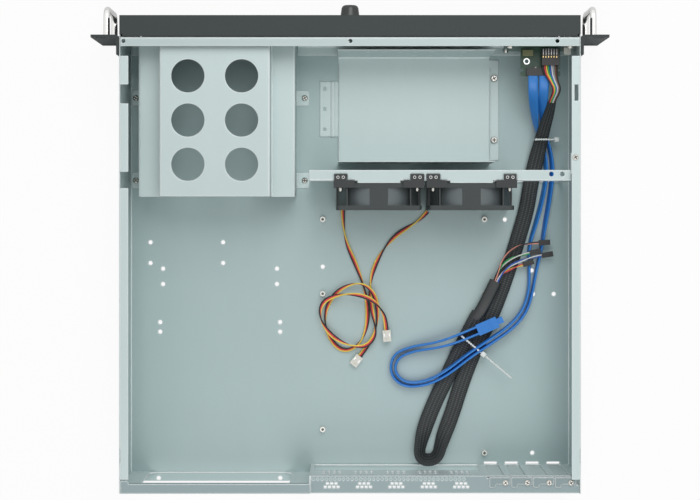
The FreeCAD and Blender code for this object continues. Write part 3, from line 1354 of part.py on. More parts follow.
FAN_LEAD_1 = [
    (6.8, -50.4, 3.4), (6.8, -36.1, 3.4), (3.3, -17.5, 3.4), (-4.9, 0.5, 3.4),
    (-12.7, 20.4, 3.4), (-17.5, 42.8, 3.4), (-16.6, 64.3, 3.4), (-8.8, 81.8, 3.4),
    (6.9, 87.6, 3.4), (19.5, 75.9, 3.4), (25.4, 57.4, 3.4), (20.9, 37.9, 5),
    (7.8, 24.1, 10.4), (-10.7, 19.2, 10.4), (-23.4, 29.0, 10.4), (-27.8, 48.7, 3.4),
    (-24.8, 68.2, 3.4), (-16.6, 82.8, 3.4), (-9.6, 91.6, 3.4),
]
FAN_LEAD_2 = [
    (-75.5, -49.1, 3.4), (-69.0, -41.5, 3.4), (-57.5, -34.5, 3.4), (-43.5, -25.5, 3.4),
    (-30.3, -9.7, 3.4), (-21.6, 9.7, 3.4), (-19.4, 25.9, 3.4), (-20.0, 40.0, 8.5),
    (-22.8, 54.0, 10.4), (-25.6, 69.7, 10.4), (-16.4, 82.3, 10.4), (1.0, 81.3, 10.4),
    (18.4, 71.6, 10.4), (30.1, 54.2, 10.4), (27.2, 37.7, 11), (9.8, 30.8, 13),
    (-8.6, 31.0, 17), (-22.4, 36.5, 17), (-30.6, 45.5, 13.5), (-34.6, 55.5, 8.8),
    (-35.4, 66.0, 8.8),
]
TAIL_WIRES = [
    [
        (-139.6, 17.6, 16.1), (-142.9, 10.3, 16.8), (-146.5, -1.0, 16), (-156.0, -12.0, 14.5),
        (-169.0, -18.3, 12), (-183.0, -18.9, 12),
    ],
    [
        (-139.6, 17.5, 13.0), (-142.9, 10.2, 13.7), (-149.5, 0.5, 13), (-160.5, -6.0, 12),
        (-174.2, -8.8, 12),
    ],
    [
        (-142.4, 19.1, 16.0), (-145.7, 11.8, 16.7), (-154.0, 3.5, 17), (-165.0, -1.5, 15.5),
        (-177.0, -5.0, 12), (-186.0, -6.5, 12),
    ],
    [
        (-142.5, 18.8, 13.0), (-145.8, 11.5, 13.7), (-152.5, 8.0, 13), (-160.5, 4.6, 12),
        (-167.6, 2.4, 12),
    ],
]


def cord_solid(label, route, diameter):
    """A tube along a route; its length and its tightest and widest radii are printed."""
    places = [FreeCAD.Vector(*place) for place in route]
    radii = []
    edges = []
    start = places[0]
    for before, corner, after in zip(places, places[1:], places[2:]):
        reach = 0.45 * min(corner.distanceToPoint(before), corner.distanceToPoint(after))
        half = math.pi / 2 - (corner - before).getAngle(after - corner) / 2
        radii.append(reach * math.tan(half))
        arc = arc_round(corner, before, after, radii[-1])
        edges += [Part.LineSegment(start, arc[0]), Part.Arc(*arc)]
        start = arc[2]
    edges.append(Part.LineSegment(start, places[-1]))
    path = Part.Wire([edge.toShape() for edge in edges])
    section = Part.Wire([Part.Circle(places[0], places[1] - places[0], diameter / 2).toShape()])
    solid = path.makePipeShell([section], True, False)
    volume = path.Length * math.pi * diameter ** 2 / 4
    print(f"{label}: length {path.Length:.0f}, radii {min(radii):.1f} to {max(radii):.1f}")
    if abs(solid.Volume / volume - 1) > 0.02:
        raise SystemExit(f"{label}: tube of {solid.Volume:.0f}, not {volume:.0f}")
    return solid


def level_turn(along):
    """The turn about Z that points +X along a direction."""
    angle = math.degrees(math.atan2(along.y, along.x))
    return FreeCAD.Rotation(FreeCAD.Vector(0, 0, 1), angle)


def housing(route, length, width, height, below):
    """A plug's block on a route's end, level: its back face on the cord's end, its foot below it."""
    end = FreeCAD.Vector(*route[-1])
    solid = block(0, -width / 2, -below, length, width / 2, height - below)
    solid.Placement = FreeCAD.Placement(end, level_turn(end - FreeCAD.Vector(*route[-2])))
    return solid


def fan_leads():
    """Each fan's lead, and its plug with a key along the top."""
    length = mm("fan_plug_length")
    for number, route in enumerate((FAN_LEAD_1, FAN_LEAD_2), 1):
        label = f"fan_lead_{number}"
        shape_node(label, cord_solid(label, route, mm("fan_lead_width")))
        below = min(2.9, route[-1][2] - FLOOR)
        plug = housing(route, length, mm("fan_plug_width"), 5.8, below)
        key = housing(route, length - 3.0, 3.2, 1.2, below - 5.8)
        shape_node(f"fan_plug_{number}", plug.fuse(key).removeSplitter())


def harness():
    """The sleeved cable from the header, and the short wires that leave its other end."""
    shape_node("harness", cord_solid("harness", HARNESS, mm("harness_width")))
    wires = []
    plugs = []
    for number, route in enumerate(TAIL_WIRES, 1):
        wires.append(cord_solid(f"tail_wires {number}", route, mm("tail_wire")))
        plugs.append(housing(route, mm("tail_plug_length"), 5.1, 2.6, 1.3))
    shape_node("tail_wires", Part.makeCompound(wires))
    shape_node("header_plugs", Part.makeCompound(plugs))


def usb_cables():
    """Two flat cables that end side by side in one plug."""
    for number, route in enumerate((USB_CABLE_1, USB_CABLE_2), 1):
        label = f"usb_cable_{number}"
        shape_node(label, cord_solid(label, route, mm("usb_cable_width")))
    one = FreeCAD.Vector(*USB_CABLE_1[-1])
    two = FreeCAD.Vector(*USB_CABLE_2[-1])
    across = one - two
    length = mm("usb_plug_length")
    half = mm("usb_plug_width") / 2
    solid = block(0, -half, -3.1, length, half, 3.1)
    tongue = block(length, 2.5 - half, -1.2, length + 6, half - 2.5, 1.2)
    solid = solid.fuse(tongue).removeSplitter()
    turn = level_turn(FreeCAD.Vector(-across.y, across.x, 0))
    solid.Placement = FreeCAD.Placement((one + two) / 2, turn)
    shape_node("usb_plug", solid)


def tie_ring(width, height, thick):
    """A flat band round a bundle, in its own XZ plane about its middle."""
    breadth = mm("tie_width")
    outlines = (
        centred(0, 0, width + 2 * thick, height + 2 * thick, 3.5),
        centred(0, 0, width, height, 2.5),
    )
    rings = []
    for lines in outlines:
        face = Part.Face(Part.Wire([edge.toShape() for edge in lines]))
        rings.append(face.extrude(FreeCAD.Vector(0, 0, breadth)))
    band = rings[0].cut(rings[1])
    band.translate(FreeCAD.Vector(0, 0, -breadth / 2))
    band.rotate(FreeCAD.Vector(), FreeCAD.Vector(1, 0, 0), 90)
    return band


def cable_ties():
    """A tie near the small board with its end cut off, and a longer one at the bundle's middle."""
    width = mm("tie_width") / 2
    ring = tie_ring(16.4, 18.6, 1.2).fuse(block(-13.8, -2.3, 2.0, -9.2, 2.3, 7.0)).removeSplitter()
    ring.Placement = FreeCAD.Placement(FreeCAD.Vector(-188.2, -118.6, 12.8), FreeCAD.Rotation())
    shape_node("cable_tie_1", ring)
    head = block(9.0, -2.5, 9.2, 14.0, 2.5, 13.2)
    tail = block(13.0, -width, 8.2, 47.0, width, 9.4)
    ring = tie_ring(29.2, 16.6, 1.0).fuse([head, tail]).removeSplitter()
    turn = FreeCAD.Rotation(FreeCAD.Vector(0, 0, 1), 139.9)
    ring.Placement = FreeCAD.Placement(FreeCAD.Vector(-119.8, 81.3, 10.8), turn)
    shape_node("cable_tie_2", ring)


# ---- Fasteners, posts and studs ----


def board_standoffs():
    """Threaded posts pressed into the floor; the main board lies on them."""
    height = mm("standoff_height") - FLOOR
    solids = []
    for x, y in standoff_places():
        place = FreeCAD.Vector(x, y, FLOOR)
        post = Part.makeCylinder(mm("standoff_width") / 2, height, place)
        solids.append(post.cut(Part.makeCylinder(mm("standoff_bore") / 2, height, place)))
    shape_node("board_standoffs", Part.makeCompound(solids))


def screws_down():
    """The screws that are driven from above."""
    down = (0, 0, 1)
    places = [(x, y, CAGE_FLOOR - 1.9) for x, y in cage_screw_places()]
    group("cage_screws", screw(6.0, 1.8, 3.0, 1.9), places, down)
    # The disk cage hooks under two wide-headed screws, so their heads stand off its flange.
    neck = mm("cage_gauge") + mm("gauge") - 0.4
    mushroom = [(0, 1.6), (neck, 1.6), (neck, 2.6), (neck + 1.4, 2.6), (neck + 1.4, 3.4), (neck + 3.2, 2.6)]
    group("disk_screws", mushroom, [(x, y, 0.4) for x, y in disk_screw_places()], down)
    head = SHELF + mm("cover_gauge")
    places = [(x - mm("cover_screw_offset"), COVER_SCREW_Y, head - 4.0) for x in SLOTS]
    group("slot_screws", screw(5.6, 1.9, 2.7, 4.0), places, down)
    group("rail_screw", screw(6.0, 1.6, 3.0, 3.0), [(*RAIL_SCREW, TOP - 3.0)], down)


def screws_across():
    """The fans' screws, the ears' screws and the studs in the side walls."""
    head = FAN_FRONT + 7.5
    places = [(x, head, FAN_AXIS + FAN_CORNER) for x in FAN_SCREWS]
    length = head - RAIL_REAR - mm("slip")
    group("clip_screws", screw(6.2, 2.0, 3.6, length), places, (0, -1, 0))
    ear_screw = screw(6.8, 1.6, 3.6, mm("ear_gauge") + mm("gauge"))
    gauge = mm("gauge")
    stud = [(0, 2.5), (gauge, 2.5), (gauge, 3.6), (gauge + 1.4, 3.3)]
    screws = []
    studs = []
    for side in (1, -1):
        for z in EAR_SCREWS:
            screws.append(turned(ear_screw, (side * INNER_HALF, EAR_SCREW_Y, z), (side, 0, 0)))
        for y in STUDS:
            studs.append(turned(stud, (side * HALF_WIDTH, y, TOP / 2), (-side, 0, 0)))
    shape_node("ear_screws", Part.makeCompound(screws))
    shape_node("wall_studs", Part.makeCompound(studs))


def build():
    base_tray()
    front_wall()
    rear_panel()
    for index in range(len(SLOTS)):
        slot_cover(index)
    drive_cage()
    disk_cage()
    floor_bridge()
    fan_rail()
    for index in range(len(CLIPS)):
        fan_clip(index)
    for side, name in ((1, "right"), (-1, "left")):
        ear(side, "ear_" + name)
        handle(side, "handle_" + name)
    for index in range(len(FAN_CENTRES)):
        fan_frame(index)
        rotor(index)
    front_door()
    hinge_lugs()
    hinge_pins()
    lock_housing()
    lock_core()
    lock_cam()
    lock_catch()
    panel_board()
    panel_posts()
    button(0, "power_button")
    button(1, "reset_button")
    daughter_board()
    board_components()
    header_socket()
    usb_header()
    usb_ports()
    led_lenses()
    board_standoffs()
    screws_down()
    screws_across()
    fan_leads()
    harness()
    usb_cables()
    cable_ties()


def check():
    """Stops on any failed feature, any cut that removed nothing and any bad shape."""
    for item in DOC.Objects:
        if "Invalid" in item.State or "Error" in item.State:
            raise SystemExit(f"{item.Name}: {item.State}")
        if item.TypeId == "PartDesign::Pocket":
            if item.Shape.Volume > item.BaseFeature.Shape.Volume - 1e-3:
                raise SystemExit(f"{item.Name} cuts nothing")
    for node in NODES:
        if node.Shape.isNull() or not node.Shape.isValid() or not node.Shape.Solids:
            raise SystemExit(f"{node.Label}: bad shape")


def export():
    os.makedirs("parts", exist_ok=True)
    for node in NODES:
        node.Shape.exportStep(f"parts/{node.Label}.step")


build()
DOC.recompute()
check()
export()
print(len(NODES), "nodes")
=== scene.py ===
# %% [markdown]
# # An empty rackmount server case, seen from above with its lid off
#
# The solids of the case come from the frame: tray, cages, fan rail, fans, door, lock, boards and
# screws. This lesson gives each of them its finish, and makes what a plain solid can't be: the
# braided sleeve and its wires, the flat blue cables, the fans' three-wire leads, the cable ties,
# the screws' cross recesses and the small parts on the boards.

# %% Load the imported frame
import json
import math

import bmesh
import bpy
from mathutils import Matrix, Vector


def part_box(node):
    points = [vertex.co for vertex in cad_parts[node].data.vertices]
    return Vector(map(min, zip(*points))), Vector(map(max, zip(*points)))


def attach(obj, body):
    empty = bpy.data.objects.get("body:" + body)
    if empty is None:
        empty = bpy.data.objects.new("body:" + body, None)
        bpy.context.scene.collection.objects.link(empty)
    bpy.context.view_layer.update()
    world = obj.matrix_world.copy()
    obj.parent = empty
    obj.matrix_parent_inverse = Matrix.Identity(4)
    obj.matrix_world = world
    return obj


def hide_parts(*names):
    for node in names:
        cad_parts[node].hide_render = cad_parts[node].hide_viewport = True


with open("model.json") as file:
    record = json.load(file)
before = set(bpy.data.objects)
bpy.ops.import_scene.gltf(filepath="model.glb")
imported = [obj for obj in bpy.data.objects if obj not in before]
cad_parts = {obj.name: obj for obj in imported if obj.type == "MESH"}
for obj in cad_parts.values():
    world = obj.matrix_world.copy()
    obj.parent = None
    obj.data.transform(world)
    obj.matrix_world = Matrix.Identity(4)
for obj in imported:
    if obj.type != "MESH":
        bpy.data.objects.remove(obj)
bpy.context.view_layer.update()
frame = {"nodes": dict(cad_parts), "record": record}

nodes = frame["nodes"]
record_slot = {part["node"]: part["material_slot"] for part in frame["record"]["subparts"]}

# %% [markdown]
# ## Camera, floor and light
#
# The case is looked at straight from above with a long lens, so its walls show only a sliver of
# their inner faces. A camera looks along -Z when it isn't turned, so half a turn about Z is all it
# needs to bring the front edge to the top of the picture. The point right below the camera isn't
# the middle of the picture; the lens shift moves it there without tilting the camera, which would
# make the side walls lean.

# %% Camera
def in_scene(name, data):
    """A new object with this data, linked to the scene."""
    item = bpy.data.objects.new(name, data)
    bpy.context.scene.collection.objects.link(item)
    return item


lens_in_widths = 1907 / 700
camera_data = bpy.data.cameras.new("view from above")
camera_data.sensor_width = 36.0
camera_data.lens = lens_in_widths * camera_data.sensor_width
camera_data.shift_y = -32 / 700
camera = in_scene("view from above", camera_data)
camera.location = (0.0, -0.0429, 1.861)
camera.rotation_euler = (0.0, 0.0, math.pi)
bpy.context.scene.camera = camera
print("the lens is", round(camera_data.lens, 1), "mm long")

# %% [markdown]
# The background is white because the floor shows the camera a white of its own, and not because
# it is lit harder than the case. Light Path's Is Camera Ray tells the material who is looking: the
# camera sees mostly the white, and still a little of the real surface, which keeps the shadow.

# %% Floor
def add_node(tree, kind, values=(), **settings):
    """Adds a node to a node tree and sets its properties and the values of its inputs."""
    node = tree.nodes.new(kind)
    for name, value in settings.items():
        setattr(node, name, value)
    for socket, value in dict(values).items():
        node.inputs[socket].default_value = value
    return node


def connect(tree, links):
    """Links nodes; each link is (from node, its output, to node, its input)."""
    for source, output, target, entry in links:
        tree.links.new(source.outputs[output], target.inputs[entry])


def new_material(name):
    """A node material, its tree and the tree's output node."""
    material = bpy.data.materials.new(name)
    material.use_nodes = True
    material.node_tree.nodes.clear()
    output = add_node(material.node_tree, "ShaderNodeOutputMaterial")
    return material, material.node_tree, output


def mesh_from(bm, name="part"):
    """A mesh with what a bmesh holds; the bmesh is freed."""
    mesh = bpy.data.meshes.new(name)
    bm.to_mesh(mesh)
    bm.free()
    return mesh


floor_white, tree, output = new_material("floor white")
paper = add_node(tree, "ShaderNodeBsdfDiffuse", {"Color": (0.9, 0.9, 0.9, 1)})
white = add_node(tree, "ShaderNodeEmission")
ray_kind = add_node(tree, "ShaderNodeLightPath")
white_share = add_node(tree, "ShaderNodeMath", {1: 0.93}, operation="MULTIPLY")
blend = add_node(tree, "ShaderNodeMixShader")
connect(tree, (
    (ray_kind, "Is Camera Ray", white_share, 0),
    (white_share, 0, blend, 0),
    (paper, 0, blend, 1),
    (white, 0, blend, 2),
    (blend, 0, output, "Surface"),
))

below = Matrix.Translation((0, 0, -0.0006))
bm = bmesh.new()
bmesh.ops.create_grid(bm, x_segments=1, y_segments=1, size=4.0, matrix=below)
floor = in_scene("floor", mesh_from(bm, "floor"))
floor.data.materials.append(floor_white)
print("the floor is", round(floor.dimensions.x, 1), "m wide")

# %% [markdown]
# Bare zinc shows what is around it more than it shows its own colour, so the room matters as much
# as the lamps. The world is a soft white for the camera and in reflections, and dimmer where it
# lights plain surfaces. One broad lamp stands high in front of the case, and a weaker one behind it
# keeps the walls that face away from going black. Neither is where the floor would mirror it.

# %% World and lamps
world = bpy.data.worlds.new("studio")
bpy.context.scene.world = world
world.use_nodes = True
tree = world.node_tree
tree.nodes.clear()
ray_kind = add_node(tree, "ShaderNodeLightPath")
seen = add_node(tree, "ShaderNodeMath", operation="MAXIMUM")
seen_or_mirrored = add_node(tree, "ShaderNodeMath", operation="MAXIMUM")
strength = add_node(tree, "ShaderNodeMapRange", {"To Min": 0.40, "To Max": 1.0})
sky = add_node(tree, "ShaderNodeBackground", {"Color": (1, 1, 1, 1)})
output = add_node(tree, "ShaderNodeOutputWorld")
connect(tree, (
    (ray_kind, "Is Camera Ray", seen, 0),
    (ray_kind, "Is Transmission Ray", seen, 1),
    (seen, 0, seen_or_mirrored, 0),
    (ray_kind, "Is Glossy Ray", seen_or_mirrored, 1),
    (seen_or_mirrored, 0, strength, "Value"),
    (strength, "Result", sky, "Strength"),
    (sky, 0, output, "Surface"),
))


def softbox(name, place, size, power):
    """A square area lamp aimed at the origin."""
    lamp = bpy.data.lights.new(name, "AREA")
    lamp.size = size
    lamp.energy = power
    holder = in_scene(name, lamp)
    holder.location = place
    holder.rotation_euler = (-Vector(place)).to_track_quat("-Z", "Y").to_euler()
    print(name, "gives", power, "W")


softbox("key", (-0.25, -0.95, 1.55), 1.1, 12.6)
softbox("fill", (-0.05, 0.85, 1.5), 0.9, 5.0)
bpy.context.scene.view_settings.view_transform = "Standard"

# %% [markdown]
# ## Patterns that several finishes share
#
# A shader node group is a small machine that is built once and placed in many materials. "Drift"
# makes a colour wander a little, as it does on rolled zinc, moulded plastic and laminate; "Grain"
# gives the height of fine roughness for a Bump node. Stretch below one draws either out along Y.

# %% Group builder
def group_with(name, inputs, outputs):
    """A new shader group with inputs {label: value} and outputs {label: kind of socket}."""
    group = bpy.data.node_groups.new(name, "ShaderNodeTree")
    for label, value in inputs.items():
        kind = "NodeSocketColor" if isinstance(value, tuple) else "NodeSocketFloat"
        socket = group.interface.new_socket(label, in_out="INPUT", socket_type=kind)
        socket.default_value = value
    for label, kind in outputs.items():
        group.interface.new_socket(label, in_out="OUTPUT", socket_type=f"NodeSocket{kind}")
    print(name, "takes", ", ".join(inputs), "and gives", ", ".join(outputs))
    return group, add_node(group, "NodeGroupInput"), add_node(group, "NodeGroupOutput")


def stretched_place(group, start):
    """The node that gives object coordinates with Y scaled by the group's Stretch."""
    place = add_node(group, "ShaderNodeTexCoord")
    stretch = add_node(group, "ShaderNodeCombineXYZ", {"X": 1.0, "Z": 1.0})
    scaled = add_node(group, "ShaderNodeVectorMath", operation="MULTIPLY")
    connect(group, (
        (start, "Stretch", stretch, "Y"),
        (place, "Object", scaled, 0),
        (stretch, 0, scaled, 1),
    ))
    return scaled


# %% Drift: a colour that wanders over the surface
drift, start, end = group_with(
    "Drift",
    {"Colour": (0.5, 0.5, 0.5, 1), "Size": 12.0, "Amount": 0.06, "Stretch": 1.0},
    {"Colour": "Color", "Mask": "Float"},
)
scaled = stretched_place(drift, start)
cloud = add_node(drift, "ShaderNodeTexNoise", {"Detail": 6.0, "Roughness": 0.62})
centre = add_node(drift, "ShaderNodeMath", {1: 0.5}, operation="SUBTRACT")
swing = add_node(drift, "ShaderNodeMath", {2: 1.0}, operation="MULTIPLY_ADD")
tint = add_node(drift, "ShaderNodeVectorMath", operation="SCALE")
connect(drift, (
    (scaled, 0, cloud, "Vector"),
    (start, "Size", cloud, "Scale"),
    (cloud, "Fac", centre, 0),
    (centre, 0, swing, 0),
    (start, "Amount", swing, 1),
    (start, "Colour", tint, 0),
    (swing, 0, tint, "Scale"),
    (tint, 0, end, "Colour"),
    (cloud, "Fac", end, "Mask"),
))

# %% Grain: the height of fine roughness
grain, start, end = group_with(
    "Grain", {"Size": 1500.0, "Stretch": 1.0, "Speck": 0.0}, {"Height": "Float"}
)
scaled = stretched_place(grain, start)
fine = add_node(grain, "ShaderNodeTexNoise", {"Detail": 3.0})
specks = add_node(grain, "ShaderNodeTexVoronoi")
speck_height = add_node(grain, "ShaderNodeMath", operation="MULTIPLY")
height = add_node(grain, "ShaderNodeMath", operation="ADD")
connect(grain, (
    (scaled, 0, fine, "Vector"),
    (scaled, 0, specks, "Vector"),
    (start, "Size", fine, "Scale"),
    (start, "Size", specks, "Scale"),
    (specks, "Distance", speck_height, 0),
    (start, "Speck", speck_height, 1),
    (fine, "Fac", height, 0),
    (speck_height, 0, height, 1),
    (height, 0, end, "Height"),
))

# %% [markdown]
# This group finds the bends and rims of a sheet, where a bright colour is painted as a highlight,
# as a real bend catches the light. A Bevel node rounds the normal near an edge, so the angle
# between it and the true normal is a mask of the edges. A bend is round already; there the normal
# leaves all three axes, so one minus its largest part is a mask of the bends. "Rise" goes from 0 to
# 1 between two heights: with it the sheet gets painted shade or painted light low in the case,
#                        another shade than along the top.

# %% Painted light marks: highlights painted on edges and bends, and the height in the case
painted_light_marks, start, end = group_with(
    "Wear", {"Radius": 0.0016, "Gain": 16.0, "Low": 0.0, "High": 0.084},
    {"Edge": "Float", "Rise": "Float", "Normal": "Vector"},
)
rounded = add_node(painted_light_marks, "ShaderNodeBevel", samples=4)
true_normal = add_node(painted_light_marks, "ShaderNodeNewGeometry")
agree = add_node(painted_light_marks, "ShaderNodeVectorMath", operation="DOT_PRODUCT")
differ = add_node(painted_light_marks, "ShaderNodeMath", {0: 1.0}, operation="SUBTRACT")
rim = add_node(painted_light_marks, "ShaderNodeMath", operation="MULTIPLY", use_clamp=True)
place = add_node(painted_light_marks, "ShaderNodeTexCoord")
unsigned = add_node(painted_light_marks, "ShaderNodeVectorMath", operation="ABSOLUTE")
parts = add_node(painted_light_marks, "ShaderNodeSeparateXYZ")
larger = add_node(painted_light_marks, "ShaderNodeMath", operation="MAXIMUM")
largest = add_node(painted_light_marks, "ShaderNodeMath", operation="MAXIMUM")
slant = add_node(painted_light_marks, "ShaderNodeMath", {0: 1.0}, operation="SUBTRACT")
bend = add_node(painted_light_marks, "ShaderNodeMath", {1: 6.0}, operation="MULTIPLY", use_clamp=True)
either = add_node(painted_light_marks, "ShaderNodeMath", operation="MAXIMUM")
split = add_node(painted_light_marks, "ShaderNodeSeparateXYZ")
rise = add_node(painted_light_marks, "ShaderNodeMapRange")
connect(painted_light_marks, (
    (start, "Radius", rounded, "Radius"),
    (rounded, "Normal", agree, 0),
    (true_normal, "Normal", agree, 1),
    (agree, "Value", differ, 1),
    (differ, 0, rim, 0),
    (start, "Gain", rim, 1),
    (place, "Normal", unsigned, 0),
    (unsigned, 0, parts, 0),
    (parts, "X", larger, 0),
    (parts, "Y", larger, 1),
    (larger, 0, largest, 0),
    (parts, "Z", largest, 1),
    (largest, 0, slant, 1),
    (slant, 0, bend, 0),
    (rim, 0, either, 0),
    (bend, 0, either, 1),
    (place, "Object", split, 0),
    (split, "Z", rise, "Value"),
    (start, "Low", rise, "From Min"),
    (start, "High", rise, "From Max"),
    (either, 0, end, "Edge"),
    (rise, "Result", end, "Rise"),
    (rounded, "Normal", end, "Normal"),
))

# %% [markdown]
# Every finish starts from the same plan: a Principled shader whose colour drifts, whose roughness
# follows the same cloud, and whose normal comes from the grain. What makes zinc zinc and nylon
# nylon is in the numbers, so the plan is one function and each finish is one call.

# %% The plan of a finish
def finish(name, colour, metal=0.0, rough=0.5, drift_size=12.0, drift_amount=0.06, stretch=1.0,
           grain_size=1500.0, grain_depth=0.1, speck=0.0, rough_swing=0.1, coat=0.0):
    """A drifting colour, a roughness that follows it and a fine grain, on one Principled shader."""
    material, tree, output = new_material(name)
    shader = add_node(tree, "ShaderNodeBsdfPrincipled",
                      {"Metallic": metal, "Coat Weight": coat, "Coat Roughness": 0.1})
    wander = add_node(tree, "ShaderNodeGroup", {
        "Colour": (*colour, 1), "Size": drift_size, "Amount": drift_amount, "Stretch": stretch,
    }, node_tree=drift)
    spread = add_node(tree, "ShaderNodeMapRange",
                      {"To Min": rough - rough_swing, "To Max": rough + rough_swing})
    texture = add_node(tree, "ShaderNodeGroup",
                       {"Size": grain_size, "Stretch": stretch, "Speck": speck}, node_tree=grain)
    bump = add_node(tree, "ShaderNodeBump", {"Strength": grain_depth, "Distance": 0.0002})
    connect(tree, (
        (wander, "Colour", shader, "Base Color"),
        (wander, "Mask", spread, "Value"),
        (spread, "Result", shader, "Roughness"),
        (texture, "Height", bump, "Height"),
        (bump, "Normal", shader, "Normal"),
        (shader, "BSDF", output, "Surface"),
    ))
    return material


def node_of(tree, kind):
    """The first node of a kind in a tree."""
    return next(node for node in tree.nodes if node.type == kind)


# %% Sheet: a finish with highlights painted on its bends and rims
def sheet(name, colour, highlight_colour, painted_depth_tint, low_to=0.0, high_from=0.084):
    """Zinc-coated sheet with a highlight painted on its bends and rims. The depth tint is painted
    shade
    or painted light: it multiplies the colour fully up to the height low_to, and no longer from
    high_from up."""
    material = finish(name, colour, metal=0.3, rough=0.46, drift_size=26.0, drift_amount=0.10,
                      stretch=0.35, grain_size=900.0, grain_depth=0.12, rough_swing=0.06)
    tree = material.node_tree
    shader, bump = node_of(tree, "BSDF_PRINCIPLED"), node_of(tree, "BUMP")
    wander = shader.inputs["Base Color"].links[0].from_node
    marks = add_node(tree, "ShaderNodeGroup", {"Low": low_to, "High": high_from}, node_tree=painted_light_marks)
    # The depth tint is painted shade or painted light low in the case.
    shade = add_node(tree, "ShaderNodeMix", {"B": (*painted_depth_tint, 1)},
                     data_type="RGBA", blend_type="MULTIPLY")
    depth = add_node(tree, "ShaderNodeMath", {0: 1.0}, operation="SUBTRACT", use_clamp=True)
    # A highlight is painted on the bends and rims.
    painted_highlight = add_node(tree, "ShaderNodeMix", {"B": (*highlight_colour, 1)}, data_type="RGBA")
    connect(tree, (
        (marks, "Rise", depth, 1),
        (depth, 0, shade, "Factor"),
        (wander, "Colour", shade, "A"),
        (marks, "Edge", painted_highlight, "Factor"),
        (shade, "Result", painted_highlight, "A"),
        (painted_highlight, "Result", shader, "Base Color"),
        (marks, "Normal", bump, "Normal"),
    ))
    return material


# %% [markdown]
# ## Finishes
#
# The whole case is folded from zinc-coated sheet: a pale blue-grey, between matt and satin, with
# faint clouds and a grain along the rolling direction. The other finishes follow the record's own
# slots, so each solid takes the one that its slot names. An image of zinc would repeat and show a
# seam at every fold; noise on Object coordinates runs on over folds and holes.

# %% Metals
finishes = {
    # The cages' zinc has highlights painted on its bends and is painted a little lighter low in the
    # case: painted light.
    "galvanised_sheet": sheet("galvanised sheet", (0.50, 0.595, 0.59), (0.88, 0.94, 0.94),
                              (1.1, 1.1, 1.1)),
    "black_paint": finish("black powder coat", (0.013, 0.021, 0.021), rough=0.55,
                          drift_size=700.0, drift_amount=0.9,
                          grain_size=1800.0, grain_depth=0.6, speck=0.5),
    "polished_rod": finish("polished chrome", (0.86, 0.86, 0.84), metal=1.0, rough=0.1,
                           grain_depth=0.02, rough_swing=0.04),
    "bright_screw": finish("bright zinc plate", (0.62, 0.61, 0.57), metal=1.0, rough=0.24,
                           drift_size=300.0, grain_depth=0.05),
    "lock_metal": finish("plated lock metal", (0.62, 0.62, 0.60), metal=1.0, rough=0.3,
                         drift_size=120.0),
    "dark_steel": finish("black steel", (0.035, 0.035, 0.035), metal=0.3, rough=0.45,
                         drift_size=80.0),
    "port_shell": finish("plated port shell", (0.72, 0.72, 0.70), metal=1.0, rough=0.25,
                         drift_size=90.0),
}
print(len(finishes), "finishes of metal parts")

# %% Plastics, laminate and insulation
finishes |= {
    "fan_plastic": finish("fan plastic", (0.022, 0.030, 0.031), rough=0.42, drift_size=60.0,
                          drift_amount=0.2, grain_size=3000.0, grain_depth=0.25),
    "clip_plastic": finish("clip plastic", (0.014, 0.018, 0.019), rough=0.38, drift_size=80.0,
                           grain_size=2500.0, grain_depth=0.2),
    "lock_black": finish("lock black", (0.030, 0.036, 0.034), rough=0.36, coat=0.15,
                         grain_depth=0.02, rough_swing=0.05),
    "black_plastic": finish("connector black", (0.018, 0.018, 0.019), rough=0.4, drift_size=200.0,
                            grain_size=3500.0, grain_depth=0.2),
    "white_plastic": finish("natural nylon", (0.80, 0.79, 0.72), rough=0.45, drift_size=150.0,
                            drift_amount=0.05, grain_depth=0.05),
    "board_green": finish("board laminate", (0.004, 0.046, 0.021), rough=0.42, drift_size=450.0,
                          drift_amount=0.9, grain_size=700.0, grain_depth=0.25, coat=0.3),
    "lens": finish("lens", (0.75, 0.82, 0.75), rough=0.2, drift_size=200.0, grain_depth=0.02),
    "lead_wire": finish("wire yellow", (0.85, 0.55, 0.06), rough=0.38, drift_size=120.0),
    "blue_cable": finish("cable blue", (0.032, 0.235, 0.70), rough=0.34, drift_size=60.0,
                         drift_amount=0.25, grain_depth=0.06),
    "braided_sleeve": finish("sleeve black", (0.02, 0.021, 0.022), rough=0.6),
}
print(len(finishes), "finishes")

# %% [markdown]
# The tray, the front wall, the rear panel and the slot covers each take a copy of the zinc with
# painted light and shade. The tray's floor is painted darker than its walls, as shade; the front
# wall is painted lighter low in the case; the last two are darker along the top than on their
# faces, whose lighter colour is painted light. The height that the edge group gives sets this with
# two numbers.

# %% Zinc of the larger sheets with painted light and shade, and a finish for every node
# Painted shade: the tray's floor is darker than its walls.
tray_zinc_painted_shade = sheet("tray zinc with painted shade", (0.54, 0.64, 0.635), (0.88, 0.94, 0.94), (0.69, 0.745, 0.755),
                  high_from=0.012)
# Painted light: the rear panel and the slot covers are lighter on their faces than along the top.
rear_zinc_painted_light = sheet("rear zinc with painted light", (0.28, 0.355, 0.365), (0.92, 0.97, 0.97), (2.45, 2.15, 2.1),
                  low_to=0.078)
cover_zinc_painted_light = sheet("cover zinc with painted light", (0.235, 0.30, 0.31), (0.92, 0.97, 0.97), (2.9, 2.5, 2.4),
                   low_to=0.078)
# Painted light: the front wall is lighter low in the case than along its top.
front_zinc_painted_light = sheet("front zinc with painted light", (0.44, 0.525, 0.52), (0.80, 0.86, 0.86), (1.2, 1.2, 1.2))
